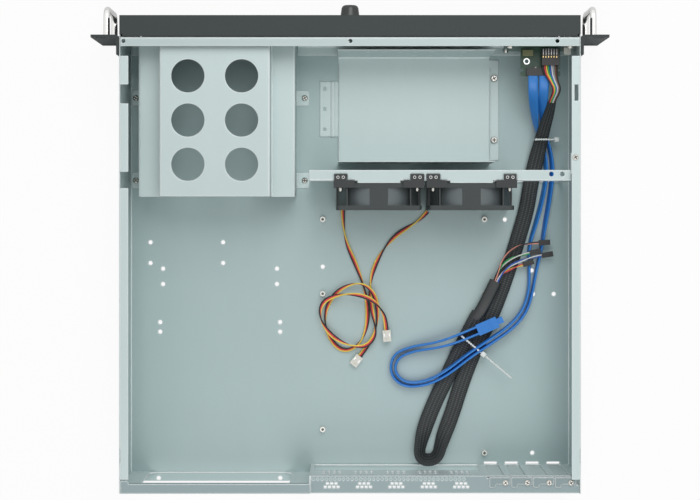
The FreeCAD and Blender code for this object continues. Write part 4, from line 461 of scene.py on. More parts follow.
# These nodes take the copies of the zinc with painted light and shade.
zinc_with_painted_light_and_shade = {"base_tray": tray_zinc_painted_shade, "rear_panel": rear_zinc_painted_light, "front_wall": front_zinc_painted_light}
zinc_with_painted_light_and_shade |= {f"slot_cover_{number}": cover_zinc_painted_light for number in range(1, 5)}
for name, solid in nodes.items():
    solid.data.materials.clear()
    solid.data.materials.append(zinc_with_painted_light_and_shade.get(name, finishes[record_slot[name]]))
# A zinc of their own here is a copy with painted light and shade.
print(len(zinc_with_painted_light_and_shade), "of", len(nodes), "nodes have a zinc of their own")

# %% [markdown]
# Light falls through the fans from both sides, so inside the ducts the same plastic looks lighter
# than on the frames. The two ducts are round about two axes; folding X about the line between
# them makes one distance serve both.

# %% Lighter ducts
frame_1_low, frame_1_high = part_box("fan_frame_1")
frame_2_low, frame_2_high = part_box("fan_frame_2")
fan_1_x = (frame_1_low[0] + frame_1_high[0]) / 2
fan_2_x = (frame_2_low[0] + frame_2_high[0]) / 2
fan_z = (frame_1_low[2] + frame_1_high[2]) / 2
duct_radius = 0.0398
tree = finishes["fan_plastic"].node_tree
shader = node_of(tree, "BSDF_PRINCIPLED")
wander = shader.inputs["Base Color"].links[0].from_node
place = add_node(tree, "ShaderNodeTexCoord")
split = add_node(tree, "ShaderNodeSeparateXYZ")
centred = add_node(tree, "ShaderNodeMath", {1: -(fan_1_x + fan_2_x) / 2}, operation="ADD")
folded = add_node(tree, "ShaderNodeMath", operation="ABSOLUTE")
half_gap = abs(fan_1_x - fan_2_x) / 2
sideways = add_node(tree, "ShaderNodeMath", {1: half_gap}, operation="SUBTRACT")
upward = add_node(tree, "ShaderNodeMath", {1: fan_z}, operation="SUBTRACT")
flat = add_node(tree, "ShaderNodeCombineXYZ")
distance = add_node(tree, "ShaderNodeVectorMath", operation="LENGTH")
inside = add_node(tree, "ShaderNodeMath", {1: duct_radius}, operation="LESS_THAN")
ducts = add_node(tree, "ShaderNodeMix", {"B": (0.13, 0.155, 0.16, 1)}, data_type="RGBA")
connect(tree, (
    (place, "Object", split, 0),
    (split, "X", centred, 0),
    (centred, 0, folded, 0),
    (folded, 0, sideways, 0),
    (split, "Z", upward, 0),
    (sideways, 0, flat, "X"),
    (upward, 0, flat, "Y"),
    (flat, 0, distance, 0),
    (distance, "Value", inside, 0),
    (inside, 0, ducts, "Factor"),
    (wander, "Colour", ducts, "A"),
    (ducts, "Result", shader, "Base Color"),
))
print("the fans' axes are at x", round(fan_1_x, 4), "and", round(fan_2_x, 4))

# %% [markdown]
# ## Cords
#
# Everything that bends is one smooth NURBS line per cord, with the points of its route as control
# points. The line is read back as a mesh without thickness, and whatever is built along the cord
# follows those points. The order and the end rule are set after the points are there; set
# earlier, they are lost and the line has corners.

# %% A route's smooth line
def curve_mesh(curve):
    """The mesh that a curve draws; the curve itself isn't kept in the scene."""
    holder = in_scene(curve.name, curve)
    graph = bpy.context.evaluated_depsgraph_get()
    mesh = bpy.data.meshes.new_from_object(holder.evaluated_get(graph))
    bpy.data.objects.remove(holder)
    return mesh


def smooth_line(route):
    """Close points along one open spline that rounds off between a route's points."""
    curve = bpy.data.curves.new("line", "CURVE")
    curve.dimensions = "3D"
    curve.resolution_u = 8
    spline = curve.splines.new("NURBS")
    spline.points.add(len(route) - 1)
    for control, place in zip(spline.points, route):
        control.co = (*place, 1.0)
    spline.order_u = 3
    spline.use_endpoint_u = True
    return [vertex.co.copy() for vertex in curve_mesh(curve).vertices]


def line_length(line):
    """The length of the steps from point to point."""
    return sum((b - a).length for a, b in zip(line, line[1:]))


# %% Values that change along a line
def ramp(value, begin, span):
    """Goes from 0 to 1 as the value goes from begin over a span."""
    return min(max((value - begin) / span, 0.0), 1.0)


def smooth_ramp(value, begin, span):
    """A ramp that sets off and arrives gently."""
    share = ramp(value, begin, span)
    return share * share * (3 - 2 * share)


def evened(values, reach=6):
    """Each value averaged with its neighbours within reach."""
    spans = [values[max(index - reach, 0):index + reach + 1] for index in range(len(values))]
    return [sum(span) / len(span) for span in spans]


# %% Tubes beside a line
def beside(line, turns, radius, phase, flatten):
    """Points that wind about a line at a radius; flatten squashes the winding towards level."""
    total = line_length(line)
    done = 0.0
    places = []
    for index, place in enumerate(line):
        before, after = line[max(index - 1, 0)], line[min(index + 1, len(line) - 1)]
        along = (after - before).normalized()
        across = along.cross(Vector((0, 0, 1))).normalized()
        rise = across.cross(along)
        angle = phase + turns * math.tau * done / total
        places.append(place + across * (radius * math.cos(angle))
                      + rise * (flatten * radius * math.sin(angle)))
        done += (after - place).length
    return places


def tube_mesh(places, radius=0.0, outline=None, tilts=None, widths=None):
    """A tube through close points: round, or with an outline that tilts turn and widths scale."""
    curve = bpy.data.curves.new("tube", "CURVE")
    curve.dimensions = "3D"
    curve.use_fill_caps = True
    spline = curve.splines.new("POLY")
    spline.points.add(len(places) - 1)
    for index, (control, place) in enumerate(zip(spline.points, places)):
        control.co = (*place, 1.0)
        if tilts:
            control.tilt = tilts[index]
        if widths:
            control.radius = widths[index]
    if outline:
        curve.twist_mode = "Z_UP"
        curve.bevel_mode = "OBJECT"
        curve.bevel_object = in_scene("outline", outline)
    else:
        curve.bevel_depth = radius
        curve.bevel_resolution = 2
    mesh = curve_mesh(curve)
    if outline:
        bpy.data.objects.remove(curve.bevel_object)
    return mesh


def flat_outline(width, height, count=20):
    """A closed flat outline for a ribbon or a sleeve: an oval that is pushed out at its corners."""
    curve = bpy.data.curves.new("flat outline", "CURVE")
    spline = curve.splines.new("POLY")
    spline.points.add(count - 1)
    for index, control in enumerate(spline.points):
        angle = math.tau * index / count
        across, up = math.cos(angle), math.sin(angle)
        x = math.copysign(abs(across) ** 0.55, across) * width / 2
        y = math.copysign(abs(up) ** 0.75, up) * height / 2
        control.co = (x, y, 0.0, 1.0)
    spline.use_cyclic_u = True
    return curve


# %% Pieces joined from several meshes
def joined_piece(name, parts, flat=False):
    """One object from (mesh, material) parts; each part keeps its own material and its UV map."""
    bm = bmesh.new()
    materials = []
    for mesh, material in parts:
        if material not in materials:
            materials.append(material)
        first = len(bm.faces)
        bm.from_mesh(mesh)
        bm.faces.ensure_lookup_table()
        for face in bm.faces[first:]:
            face.material_index = materials.index(material)
            face.smooth = not flat
    mesh = mesh_from(bm, name)
    for material in materials:
        mesh.materials.append(material)
    return in_scene(name, mesh)


def settle(piece, replaced=None):
    """Lets a piece ride on the chassis and the node that it replaces, if any."""
    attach(piece, "chassis")
    if replaced:
        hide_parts(replaced)
    print(piece.name, "has", len(piece.data.polygons), "faces")
    return piece


# %% Insulation colours
insulation = {
    "yellow": (0.94, 0.70, 0.10), "red": (0.80, 0.07, 0.09), "black": (0.012, 0.012, 0.013),
    "green": (0.03, 0.42, 0.10), "blue": (0.03, 0.12, 0.55), "white": (0.80, 0.80, 0.78),
    "grey": (0.35, 0.36, 0.37), "brown": (0.16, 0.07, 0.04), "salmon": (0.80, 0.32, 0.25),
}
wire = {
    name: finish(f"wire {name}", colour, rough=0.34, drift_size=120.0, grain_depth=0.04)
    for name, colour in insulation.items()
}
print(len(wire), "wire colours")

# %% [markdown]
# ### Fan leads
#
# Each fan's lead is three thin wires, yellow, red and black, that lie side by side like a ribbon
# and turn over lazily along the way. The red one follows the line and the other two wind about it
# on opposite sides, a few turns in all; a single round tube would read as one thick cable.

# %% Fan leads
fan_lead_1_route = [
    (0.0068, -0.0504, 0.0034), (0.0068, -0.0361, 0.0034), (0.0033, -0.0175, 0.0034),
    (-0.0049, 0.0005, 0.0034), (-0.0127, 0.0204, 0.0034), (-0.0175, 0.0428, 0.0034),
    (-0.0166, 0.0643, 0.0034), (-0.0088, 0.0818, 0.0034), (0.0069, 0.0876, 0.0034),
    (0.0195, 0.0759, 0.0034), (0.0254, 0.0574, 0.0034), (0.0209, 0.0379, 0.005),
    (0.0078, 0.0241, 0.0104), (-0.0107, 0.0192, 0.0104), (-0.0234, 0.029, 0.0104),
    (-0.0278, 0.0487, 0.0034), (-0.0248, 0.0682, 0.0034), (-0.0166, 0.0828, 0.0034),
    (-0.0096, 0.0916, 0.0034),
]
fan_lead_2_route = [
    (-0.0755, -0.0491, 0.0034), (-0.069, -0.0415, 0.0034), (-0.0575, -0.0345, 0.0034),
    (-0.0435, -0.0255, 0.0034), (-0.0303, -0.0097, 0.0034), (-0.0216, 0.0097, 0.0034),
    (-0.0194, 0.0259, 0.0034), (-0.02, 0.04, 0.0085), (-0.0228, 0.054, 0.0104),
    (-0.0256, 0.0697, 0.0104), (-0.0164, 0.0823, 0.0104), (0.001, 0.0813, 0.0104),
    (0.0184, 0.0716, 0.0104), (0.0301, 0.0542, 0.0104), (0.0272, 0.0377, 0.011),
    (0.0098, 0.0308, 0.013), (-0.0086, 0.031, 0.017), (-0.0224, 0.0365, 0.017),
    (-0.0306, 0.0455, 0.0135), (-0.0346, 0.0555, 0.0088), (-0.0354, 0.066, 0.0088),
]

strand_radius, strand_offset = 0.00072, 0.00145
strands = (("yellow", strand_offset, 0.0), ("red", 0.0, 0.0), ("black", strand_offset, math.pi))
for number, route in enumerate((fan_lead_1_route, fan_lead_2_route), 1):
    line = smooth_line(route)
    parts = []
    for colour, offset, phase in strands:
        places = beside(line, 2.0 + number, offset, phase + 0.3, flatten=0.5)
        parts.append((tube_mesh(places, strand_radius), wire[colour]))
    lead = joined_piece(f"three_wire_lead_{number}", parts)
    settle(lead, f"fan_lead_{number}")
    print("lead", number, "is", round(line_length(line), 3), "m long")

# %% [markdown]
# ### Front panel cables
#
# Nine wires leave the header's plug in a row of colours and go into a flat braided sleeve, which
# doubles back on itself and ends in a shrunk collar. The braid is two sets of ribs that cross on
# the sleeve's own UV map: u runs along it and v round it, so the pattern bends with the sleeve.

# %% Braid
braid, start, end = group_with("Braid", {"Along": 950.0, "Around": 75.4}, {"Height": "Float"})
place = add_node(braid, "ShaderNodeUVMap")
split = add_node(braid, "ShaderNodeSeparateXYZ")
along = add_node(braid, "ShaderNodeMath", operation="MULTIPLY")
around = add_node(braid, "ShaderNodeMath", operation="MULTIPLY")
lay_left = add_node(braid, "ShaderNodeMath", operation="ADD")
lay_right = add_node(braid, "ShaderNodeMath", operation="SUBTRACT")
wave_left = add_node(braid, "ShaderNodeMath", operation="SINE")
wave_right = add_node(braid, "ShaderNodeMath", operation="SINE")
weave = add_node(braid, "ShaderNodeMath", operation="MULTIPLY")
spread = add_node(braid, "ShaderNodeMapRange", {"From Min": -0.1})
connect(braid, (
    (place, "UV", split, 0),
    (split, "X", along, 0),
    (start, "Along", along, 1),
    (split, "Y", around, 0),
    (start, "Around", around, 1),
    (along, 0, lay_left, 0),
    (around, 0, lay_left, 1),
    (lay_left, 0, wave_left, 0),
    (along, 0, lay_right, 0),
    (around, 0, lay_right, 1),
    (lay_right, 0, wave_right, 0),
    (wave_left, 0, weave, 0),
    (wave_right, 0, weave, 1),
    (weave, 0, spread, "Value"),
    (spread, "Result", end, "Height"),
))

# %% Sleeve finish
sleeve_black = finishes["braided_sleeve"]
tree = sleeve_black.node_tree
shader = node_of(tree, "BSDF_PRINCIPLED")
threads = add_node(tree, "ShaderNodeGroup", node_tree=braid)
colours = add_node(tree, "ShaderNodeMix", {
    "A": (0.005, 0.007, 0.008, 1), "B": (0.085, 0.100, 0.104, 1),
}, data_type="RGBA")
raised = add_node(tree, "ShaderNodeBump", {"Strength": 0.8, "Distance": 0.0004})
connect(tree, (
    (threads, "Height", colours, "Factor"),
    (colours, "Result", shader, "Base Color"),
    (threads, "Height", raised, "Height"),
    (raised, "Normal", shader, "Normal"),
))
print(sleeve_black.name, "has", len(tree.nodes), "nodes")

# %% Sleeve
harness_route = [
    (-0.189, -0.187, 0.062), (-0.189, -0.176, 0.062), (-0.1934, -0.1625, 0.056),
    (-0.1912, -0.1449, 0.036), (-0.1862, -0.1252, 0.02), (-0.1812, -0.1012, 0.01),
    (-0.1756, -0.077, 0.0082), (-0.1722, -0.0526, 0.0056), (-0.1644, -0.0254, 0.0056),
    (-0.1552, 0.0038, 0.0056), (-0.1445, 0.0349, 0.0056), (-0.1323, 0.0631, 0.0064),
    (-0.1187, 0.0903, 0.007), (-0.108, 0.1195, 0.0056), (-0.0992, 0.1477, 0.0060),
    (-0.0896, 0.172, 0.0086), (-0.0845, 0.1922, 0.0094), (-0.0660, 0.1916, 0.0094),
    (-0.07, 0.1682, 0.0086), (-0.0797, 0.1419, 0.0060), (-0.0924, 0.1157, 0.0056),
    (-0.1059, 0.0875, 0.007), (-0.1205, 0.0583, 0.008), (-0.1322, 0.0378, 0.0125),
    (-0.141, 0.0183, 0.0145),
]

mouth_y, narrow_share, widening = -0.1545, 0.48, 0.055
loop_y, loop_span, loop_lean = 0.150, 0.036, math.radians(48)
line = smooth_line(harness_route)
sleeve_from = next(index for index, place in enumerate(line) if place.y > mouth_y)
sleeve_to = len(line) - 9
widths, tilts = [], []
for place in line[sleeve_from:sleeve_to]:
    opening = ramp(place.y, mouth_y, widening) ** 0.7
    widths.append(narrow_share + (1 - narrow_share) * opening)
    tilts.append(loop_lean * smooth_ramp(place.y, loop_y, loop_span))
sleeve = tube_mesh(line[sleeve_from:sleeve_to], outline=flat_outline(0.0152, 0.0046),
                   tilts=tilts, widths=widths)
collar = tube_mesh(line[sleeve_to - 3:], outline=flat_outline(0.0118, 0.0054))
print("the sleeve starts at y", round(line[sleeve_from].y, 4))

# %% Wires from the header's plug into the sleeve
parts = [(sleeve, sleeve_black), (collar, finishes["clip_plastic"])]
plug_low, plug_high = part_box("header_socket")
row = ("black", "red", "yellow", "green", "blue", "white", "grey", "brown", "black")
row_margin, gathered_step, bundle_x = 0.0012, 0.00068, -0.1965
row_step = (plug_high[0] - plug_low[0] - 2 * row_margin) / (len(row) - 1)
mouth, inside = line[sleeve_from], line[sleeve_from + 4]
for index, colour in enumerate(row):
    x = plug_high[0] - row_margin - row_step * index
    gather = (len(row) // 2 - index) * gathered_step
    way = [
        (x, plug_high[1] - 0.0005, 0.0595), (x, plug_high[1] + 0.006, 0.0600),
        (0.6 * x + 0.4 * bundle_x, -0.173, 0.0595), (bundle_x + 1.3 * gather, -0.164, 0.0575),
        (mouth.x + gather, mouth.y - 0.001, mouth.z + 0.0010 * (index % 2)),
        (inside.x + gather, inside.y, inside.z),
    ]
    parts.append((tube_mesh(smooth_line(way), 0.00066), wire[colour]))
harness = settle(joined_piece("sleeved_harness", parts), "harness")
print("the harness is", round(line_length(line), 3), "m long")

# %% Tail wires
tail_routes = [
    [(-0.1396, 0.0176, 0.0161), (-0.1429, 0.0103, 0.0168), (-0.1465, -0.001, 0.016),
     (-0.156, -0.012, 0.0145), (-0.169, -0.0183, 0.012), (-0.183, -0.0189, 0.012)],
    [(-0.1396, 0.0175, 0.013), (-0.1429, 0.0102, 0.0137), (-0.1495, 0.0005, 0.013),
     (-0.1605, -0.006, 0.012), (-0.1742, -0.0088, 0.012)],
    [(-0.1424, 0.0191, 0.016), (-0.1457, 0.0118, 0.0167), (-0.154, 0.0035, 0.017),
     (-0.165, -0.0015, 0.0155), (-0.177, -0.005, 0.012), (-0.186, -0.0065, 0.012)],
    [(-0.1425, 0.0188, 0.013), (-0.1458, 0.0115, 0.0137), (-0.1525, 0.008, 0.013),
     (-0.1605, 0.0046, 0.012), (-0.1676, 0.0024, 0.012)],
]
tail_colours = [("salmon", "black"), ("green", "white"), ("blue", "white"), ("yellow", "red")]
for number, (route, pair) in enumerate(zip(tail_routes, tail_colours), 1):
    tail_line = smooth_line(route)
    parts = [
        (tube_mesh(beside(tail_line, 1.0, 0.0007, phase, flatten=0.8), 0.00062), wire[colour])
        for colour, phase in zip(pair, (0.0, math.pi))
    ]
    tail = settle(joined_piece(f"tail_pair_{number}", parts))
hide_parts("tail_wires")

# %% [markdown]
# ### Flat blue cables
#
# Two ribbons leave the small board flat, and turn on edge before the first tie; from above they
# then look like thin lines. Tilt, a value at each point of the curve, turns the flat outline.

# %% Flat blue cables
usb_cable_1_route = [
    (-0.1734, -0.1776, 0.0554), (-0.1734, -0.1656, 0.0554), (-0.176, -0.1482, 0.036),
    (-0.1796, -0.1309, 0.0135), (-0.1888, -0.111, 0.0068), (-0.1911, -0.0886, 0.0082),
    (-0.1882, -0.0662, 0.0062), (-0.1814, -0.04, 0.0062), (-0.1734, -0.0147, 0.0062),
    (-0.1742, 0.0077, 0.0062), (-0.1738, 0.0271, 0.007), (-0.1682, 0.0454, 0.01),
    (-0.155, 0.0607, 0.0145), (-0.1354, 0.0742, 0.0165), (-0.1132, 0.0887, 0.0165),
    (-0.095, 0.1038, 0.013), (-0.0758, 0.1152, 0.009), (-0.0545, 0.1178, 0.007),
    (-0.0430, 0.1070, 0.007), (-0.0462, 0.0930, 0.007), (-0.0628, 0.0862, 0.008),
    (-0.0843, 0.0832, 0.013), (-0.106, 0.077, 0.017), (-0.1245, 0.0689, 0.017),
]
usb_cable_2_route = [
    (-0.1838, -0.1776, 0.0554), (-0.1838, -0.1656, 0.0554), (-0.1842, -0.1482, 0.034),
    (-0.186, -0.1309, 0.0135), (-0.1948, -0.11, 0.0068), (-0.197, -0.0867, 0.0082),
    (-0.1941, -0.0624, 0.0062), (-0.1893, -0.0351, 0.0062), (-0.1858, -0.0118, 0.0062),
    (-0.1806, 0.0096, 0.0062), (-0.1774, 0.0290, 0.007), (-0.1714, 0.0484, 0.01),
    (-0.1578, 0.0638, 0.0145), (-0.1376, 0.0776, 0.0165), (-0.1152, 0.0923, 0.0165),
    (-0.0970, 0.1073, 0.013), (-0.0766, 0.1190, 0.009), (-0.0516, 0.1216, 0.007),
    (-0.0386, 0.1084, 0.007), (-0.0415, 0.0895, 0.007), (-0.0596, 0.0818, 0.008),
    (-0.0820, 0.0783, 0.013), (-0.1033, 0.0708, 0.017), (-0.1218, 0.0627, 0.017),
]

on_edge, middle_lean = math.radians(86), math.radians(12)
turn_y, turn_span = -0.168, 0.045
for number, route in enumerate((usb_cable_1_route, usb_cable_2_route), 1):
    line = smooth_line(route)
    tilts = []
    for place in line:
        lean = middle_lean if -0.11 < place.y < -0.02 else 0.0
        tilts.append((on_edge - lean) * smooth_ramp(place.y, turn_y, turn_span))
    mesh = tube_mesh(line, outline=flat_outline(0.0094, 0.0025), tilts=evened(tilts))
    ribbon = joined_piece(f"flat_cable_{number}", [(mesh, finishes["blue_cable"])])
    settle(ribbon, f"usb_cable_{number}")
    print("flat cable", number, "is", round(line_length(line), 3), "m long")

# %% [markdown]
# ## Small parts
#
# A few shapes recur in what is left: a block with eased edges, a flat ring and a chain of beads.
# The block is a cube, sized and bevelled; the ring is a small rectangle, spun once round. Each
# small part is then a list of these with a finish for each, joined into one piece.

# %% Blocks, rings and beads
def block_mesh(low, high, ease=0.00015, turn=None):
    """A block between two corners with eased edges; turn places it after it is made."""
    bm = bmesh.new()
    bmesh.ops.create_cube(bm, size=1.0)
    size = [b - a for a, b in zip(low, high)]
    middle = [(a + b) / 2 for a, b in zip(low, high)]
    bmesh.ops.scale(bm, vec=size, verts=bm.verts)
    bmesh.ops.translate(bm, vec=middle, verts=bm.verts)
    bmesh.ops.bevel(bm, geom=bm.edges[:], offset=ease, segments=1, profile=0.5,
                    affect="EDGES", material=-1)
    if turn:
        bm.transform(turn)
    return mesh_from(bm)


def ring_mesh(centre, inner, outer, height, count=28):
    """A flat ring that lies level, with its underside at the centre's height."""
    bm = bmesh.new()
    section = ((inner, 0.0), (inner, height), (outer, height), (outer, 0.0))
    corners = [bm.verts.new((radius, 0.0, level)) for radius, level in section]
    sides = [bm.edges.new(pair) for pair in zip(corners, corners[1:] + corners[:1])]
    bmesh.ops.spin(bm, geom=corners + sides, axis=(0, 0, 1), angle=math.tau, steps=count,
                   use_merge=True)
    bmesh.ops.recalc_face_normals(bm, faces=bm.faces)
    bmesh.ops.translate(bm, vec=centre, verts=bm.verts)
    return mesh_from(bm)


def bead_mesh(path, pitch, radius):
    """Beads at an even pitch along a path."""
    bm = bmesh.new()
    reach = 0.0
    for before, after in zip(path, path[1:]):
        step = (after - before).length
        while reach < step:
            spot = Matrix.Translation(before.lerp(after, reach / step))
            bmesh.ops.create_uvsphere(bm, u_segments=8, v_segments=6, radius=radius, matrix=spot)
            reach += pitch
        reach -= step
    return mesh_from(bm)


def turned_at(place, angle):
    """A matrix that turns about the vertical and then moves to a place."""
    return Matrix.Translation(place) @ Matrix.Rotation(angle, 4, "Z")


# %% [markdown]
# ### Cable ties
#
# Both ties are of the beaded kind: a thin strap with beads along it, drawn through a square head.
# The strap follows the rounded outline of what it holds. Beads could be a bump on a round tube, but
# small spheres show in the outline too.

# %% Cable ties
def strap_path(width, height, turn, corner=0.003, count=8):
    """Points round a rounded outline that stands upright, placed by a matrix."""
    points = []
    for quarter, (x, z) in enumerate(((1, 1), (-1, 1), (-1, -1), (1, -1))):
        for index in range(count + 1):
            angle = math.pi / 2 * (quarter + index / count)
            points.append(turn @ Vector((
                x * (width / 2 - corner) + corner * math.cos(angle), 0.0,
                z * (height / 2 - corner) + corner * math.sin(angle),
            )))
    return points + points[:1]


tie_nylon = finish("tie nylon", (0.87, 0.91, 0.90), rough=0.35, drift_size=150.0, grain_depth=0.05)


def beaded_strap(path):
    """The parts of a thin strap with beads along it."""
    strap, beads = tube_mesh(path, 0.0007), bead_mesh(path, pitch=0.0023, radius=0.00115)
    return [(strap, tie_nylon), (beads, tie_nylon)]


# Each row: number, middle, angle, width and height of the loop, the head's corners in x and z, and
# the end of the free tail in x.
ties = (
    (1, (-0.1882, -0.1186, 0.0128), 0.0, 0.0176, 0.0198, (-0.0138, 0.0020, -0.0092, 0.0070), None),
    (2, (-0.1198, 0.0813, 0.0108), 139.9, 0.0302, 0.0176, (0.0090, 0.0092, 0.0140, 0.0132), 0.047),
)
for number, middle, angle, width, height, head, tail in ties:
    turn = turned_at(middle, math.radians(angle))
    low_x, low_z, high_x, high_z = head
    square = block_mesh((low_x, -0.0024, low_z), (high_x, 0.0024, high_z), 0.0006, turn)
    parts = [*beaded_strap(strap_path(width, height, turn)), (square, tie_nylon)]
    if tail:
        free = [turn @ Vector((high_x, 0, 0.0088)), turn @ Vector((tail, 0, 0.0088))]
        parts += beaded_strap(free)
    settle(joined_piece(f"beaded_tie_{number}", parts), f"cable_tie_{number}")

# %% [markdown]
# ### Small board
#
# From above the board shows a plated ring for its screw, a yellowish switch block, a row of gold
# pins between the header and its plug, a white connector and a tiny white part. Small blocks and
# rings have edges that catch the light, which a picture of a board has not. The larger components
# come as one node of one colour, so each of its islands becomes a block in a colour of its own.

# %% Small board
gold = finish("gold pin", (0.83, 0.62, 0.27), metal=1.0, rough=0.3, drift_size=300.0)
olive = finish("olive block", (0.20, 0.21, 0.10), rough=0.4, drift_size=300.0)
solder = finish("solder", (0.78, 0.79, 0.78), metal=1.0, rough=0.28, drift_size=400.0)
nylon = finishes["white_plastic"]
board_right, _, board_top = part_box("daughter_board")[1]
panel_low, panel_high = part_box("panel_board")
ring_middle = (board_right - 0.0057, panel_high[1] + 0.0124, board_top)
parts = [
    (ring_mesh(ring_middle, 0.0019, 0.0030, 0.0001), solder),
    (block_mesh((-0.1766, -0.1861, board_top), (-0.1750, -0.1847, board_top + 0.0008)), nylon),
]
for x in (panel_high[0] - 0.003, panel_low[0] + 0.004):
    for shift in (0.0, 0.0016):
        spot = Matrix.Translation((x + shift, panel_high[1] + 0.0004, panel_high[2] - 0.0022))
        bm = bmesh.new()
        bmesh.ops.create_uvsphere(bm, u_segments=10, v_segments=8, radius=0.0009, matrix=spot)
        parts.append((mesh_from(bm), solder))
pin_pitch = 0.00254
for index in range(6):
    x = plug_low[0] + 0.0017 + index * pin_pitch
    parts.append((block_mesh((x, plug_low[1] + 0.0070, plug_high[2] - 0.0006),
                             (x + 0.0009, plug_low[1] + 0.0088, plug_high[2] + 0.0003)), gold))
    parts.append((block_mesh((x, plug_low[1] + 0.0002, plug_high[2] - 0.0006),
                             (x + 0.0006, plug_low[1] + 0.0060, plug_high[2] + 0.0001)), solder))
settle(joined_piece("board_fittings", parts, flat=True))

# %% Components in their own colours
def limits(verts):
    """The lowest and the highest corner of some vertices."""
    low = [min(vert.co[axis] for vert in verts) for axis in range(3)]
    high = [max(vert.co[axis] for vert in verts) for axis in range(3)]
    return low, high


def islands(solid):
    """A node's mesh, welded, and the vertices of each of its solids in a fixed order."""
    bm = bmesh.new()
    bm.from_mesh(solid.data)
    bmesh.ops.remove_doubles(bm, verts=bm.verts, dist=1e-6)
    left = set(bm.verts)
    groups = []
    while left:
        found = {left.pop()}
        newest = found
        while newest:
            near = {edge.other_vert(vert) for vert in newest for edge in vert.link_edges}
            newest = near - found
            found = found | newest
        left -= found
        groups.append(found)
    return bm, sorted(groups, key=limits)


bm, groups = islands(nodes["board_components"])
parts = []
for verts in groups:
    low, high = limits(verts)
    upright = low[1] < panel_low[1]
    colour = finishes["black_plastic"] if upright else olive if low[0] > -0.19 else nylon
    parts.append((block_mesh(low, high, 0.0002), colour))
bm.free()
components = joined_piece("coloured_components", parts, flat=True)
settle(components, "board_components")

# %% [markdown]
# ### Screw recesses
#
# The screws come as plain turned solids. A cross is cut into each head with a Boolean: every
# island of the node is one screw, and its box says where its head is. A dark cross laid on the head
# would look flat; the cut has depth, and its faces take the dark finish of the tool, as painted
# shade in the recess.

# %% Cross recesses
def cross_cutter(place, head, turn):
    """A cross-shaped prism that dips into the top of a head of this diameter."""
    span, wide, deep = head * 0.30, head * 0.07, 0.0011
    bm = bmesh.new()
    outline = []
    for quarter in range(4):
        spin = Matrix.Rotation(turn + quarter * math.pi / 2, 3, "Z")
        for x, y in ((span, -wide), (span, wide), (wide, wide)):
            outline.append(bm.verts.new(spin @ Vector((x, y, -deep))))
    face = bm.faces.new(outline)
    top = bmesh.ops.extrude_face_region(bm, geom=[face])
    verts = [item for item in top["geom"] if isinstance(item, bmesh.types.BMVert)]
    bmesh.ops.translate(bm, vec=(0, 0, deep + 0.001), verts=verts)
    bmesh.ops.recalc_face_normals(bm, faces=bm.faces)
    bm.transform(Matrix.Translation(place))
    return mesh_from(bm)


def recessed(name):
    """The screws of a node, heads up, each with a cross recess turned its own way, its faces
    painted dark as shade.
    """
    bm, groups = islands(nodes[name])
    blank = mesh_from(bm.copy())
    blank.materials.append(finishes["bright_screw"])
    crosses = bmesh.new()
    for index, verts in enumerate(groups):
        low, high = limits(verts)
        top = ((low[0] + high[0]) / 2, (low[1] + high[1]) / 2, high[2])
        crosses.from_mesh(cross_cutter(top, high[0] - low[0], 0.5 + index * 1.1))
    bm.free()
    tool = in_scene("recess tool", mesh_from(crosses))
    # The recess faces take this dark finish: painted shade in the recess.
    tool.data.materials.append(finishes["dark_steel"])
    piece = in_scene(f"recessed_{name}", blank)
    cut = piece.modifiers.new("recess", "BOOLEAN")
    cut.operation = "DIFFERENCE"
    cut.solver = "EXACT"
    cut.material_mode = "TRANSFER"
    cut.object = tool
    graph = bpy.context.evaluated_depsgraph_get()
    mesh = bpy.data.meshes.new_from_object(piece.evaluated_get(graph))
    piece.modifiers.clear()
    piece.data = mesh
    bpy.data.objects.remove(tool)
    settle(piece, name)


for name in ("cage_screws", "disk_screws", "slot_screws", "rail_screw"):
    recessed(name)

# %% [markdown]
# ### Rims of the disk cage
#
# The disk cage's floor ends on both sides in a low rolled rim that catches the light; the flanges
# with their screws lie outside it. Each rim is so thin that one long eased block is enough.

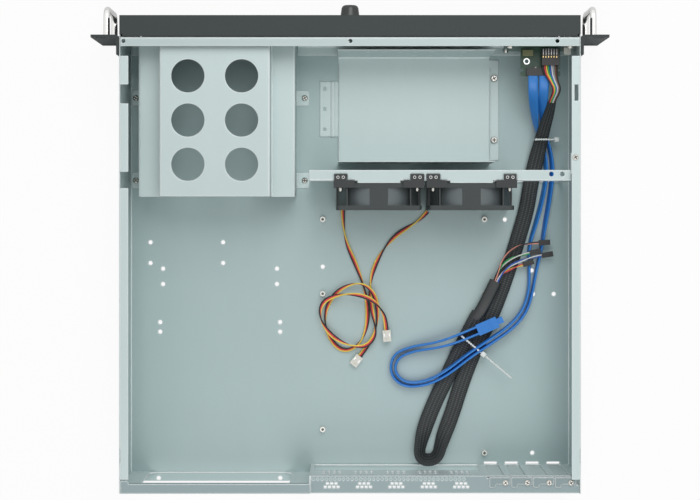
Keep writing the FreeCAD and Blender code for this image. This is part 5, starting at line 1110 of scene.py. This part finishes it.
# %% Rims
cage_low, cage_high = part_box("disk_cage")
rim_left, rim_right, rim_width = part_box("disk_screws")[1][0] + 0.0003, 0.0104, 0.0008
parts = []
for x, front_gap, rear_gap in ((rim_left, 0.012, 0.006), (rim_right, 0.008, 0.004)):
    low = (x, cage_low[1] + front_gap, 0.0020)
    high = (x + rim_width, cage_high[1] - rear_gap, 0.0042)
    parts.append((block_mesh(low, high, 0.0003), finishes["galvanised_sheet"]))
settle(joined_piece("disk_cage_rims", parts, flat=True))

# %% [markdown]
# ### Contacts, eyelets and ribs
#
# The fans' plugs have three windows for their contacts, the clips two eyelets each, and the blue
# cables' plug is ribbed for the fingers. These are pieces of their own that stand out by a few
# tenths of a millimetre, so the solids under them stay as they are.

# %% Contacts in the fans' plugs
for number, route in enumerate((fan_lead_1_route, fan_lead_2_route), 1):
    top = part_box(f"fan_plug_{number}")[1][2] - 0.0012
    end, before = Vector(route[-1]), Vector(route[-2])
    turn = turned_at((end.x, end.y, 0), math.atan2(end.y - before.y, end.x - before.x))
    parts = []
    for y in (-0.0025, 0.0, 0.0025):
        low, high = (0.0030, y - 0.0007, top - 0.0003), (0.0062, y + 0.0007, top + 0.00012)
        parts.append((block_mesh(low, high, 0.00005, turn), solder))
    settle(joined_piece(f"plug_contacts_{number}", parts, flat=True))

# %% Eyelets of the fans' clips
parts = []
fan_screw, eyelet = 0.03575, 0.0025
for number, centre, side in ((1, fan_1_x, 1), (2, fan_1_x, -1), (3, fan_2_x, 1), (4, fan_2_x, -1)):
    clip_low, clip_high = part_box(f"fan_clip_{number}")
    for shift in (-eyelet, eyelet):
        spot = (centre + side * fan_screw + shift, clip_low[1] + 0.0030, clip_high[2])
        parts.append((ring_mesh(spot, 0.0010, 0.0014, 0.0002, 16), solder))
settle(joined_piece("clip_eyelets", parts, flat=True))

# %% Ribs of the blue cables' plug
one, two = Vector(usb_cable_1_route[-1]), Vector(usb_cable_2_route[-1])
across = one - two
turn = turned_at((one + two) / 2, math.atan2(across.x, -across.y))
rib_width, rib_pitch = 0.0010, 0.0022
parts = []
for index in range(6):
    x = 0.0030 + rib_pitch * index
    rib = block_mesh((x, -0.0042, 0.0030), (x + rib_width, 0.0042, 0.0034), 0.0001, turn)
    parts.append((rib, finishes["blue_cable"]))
settle(joined_piece("plug_ribs", parts, flat=True))
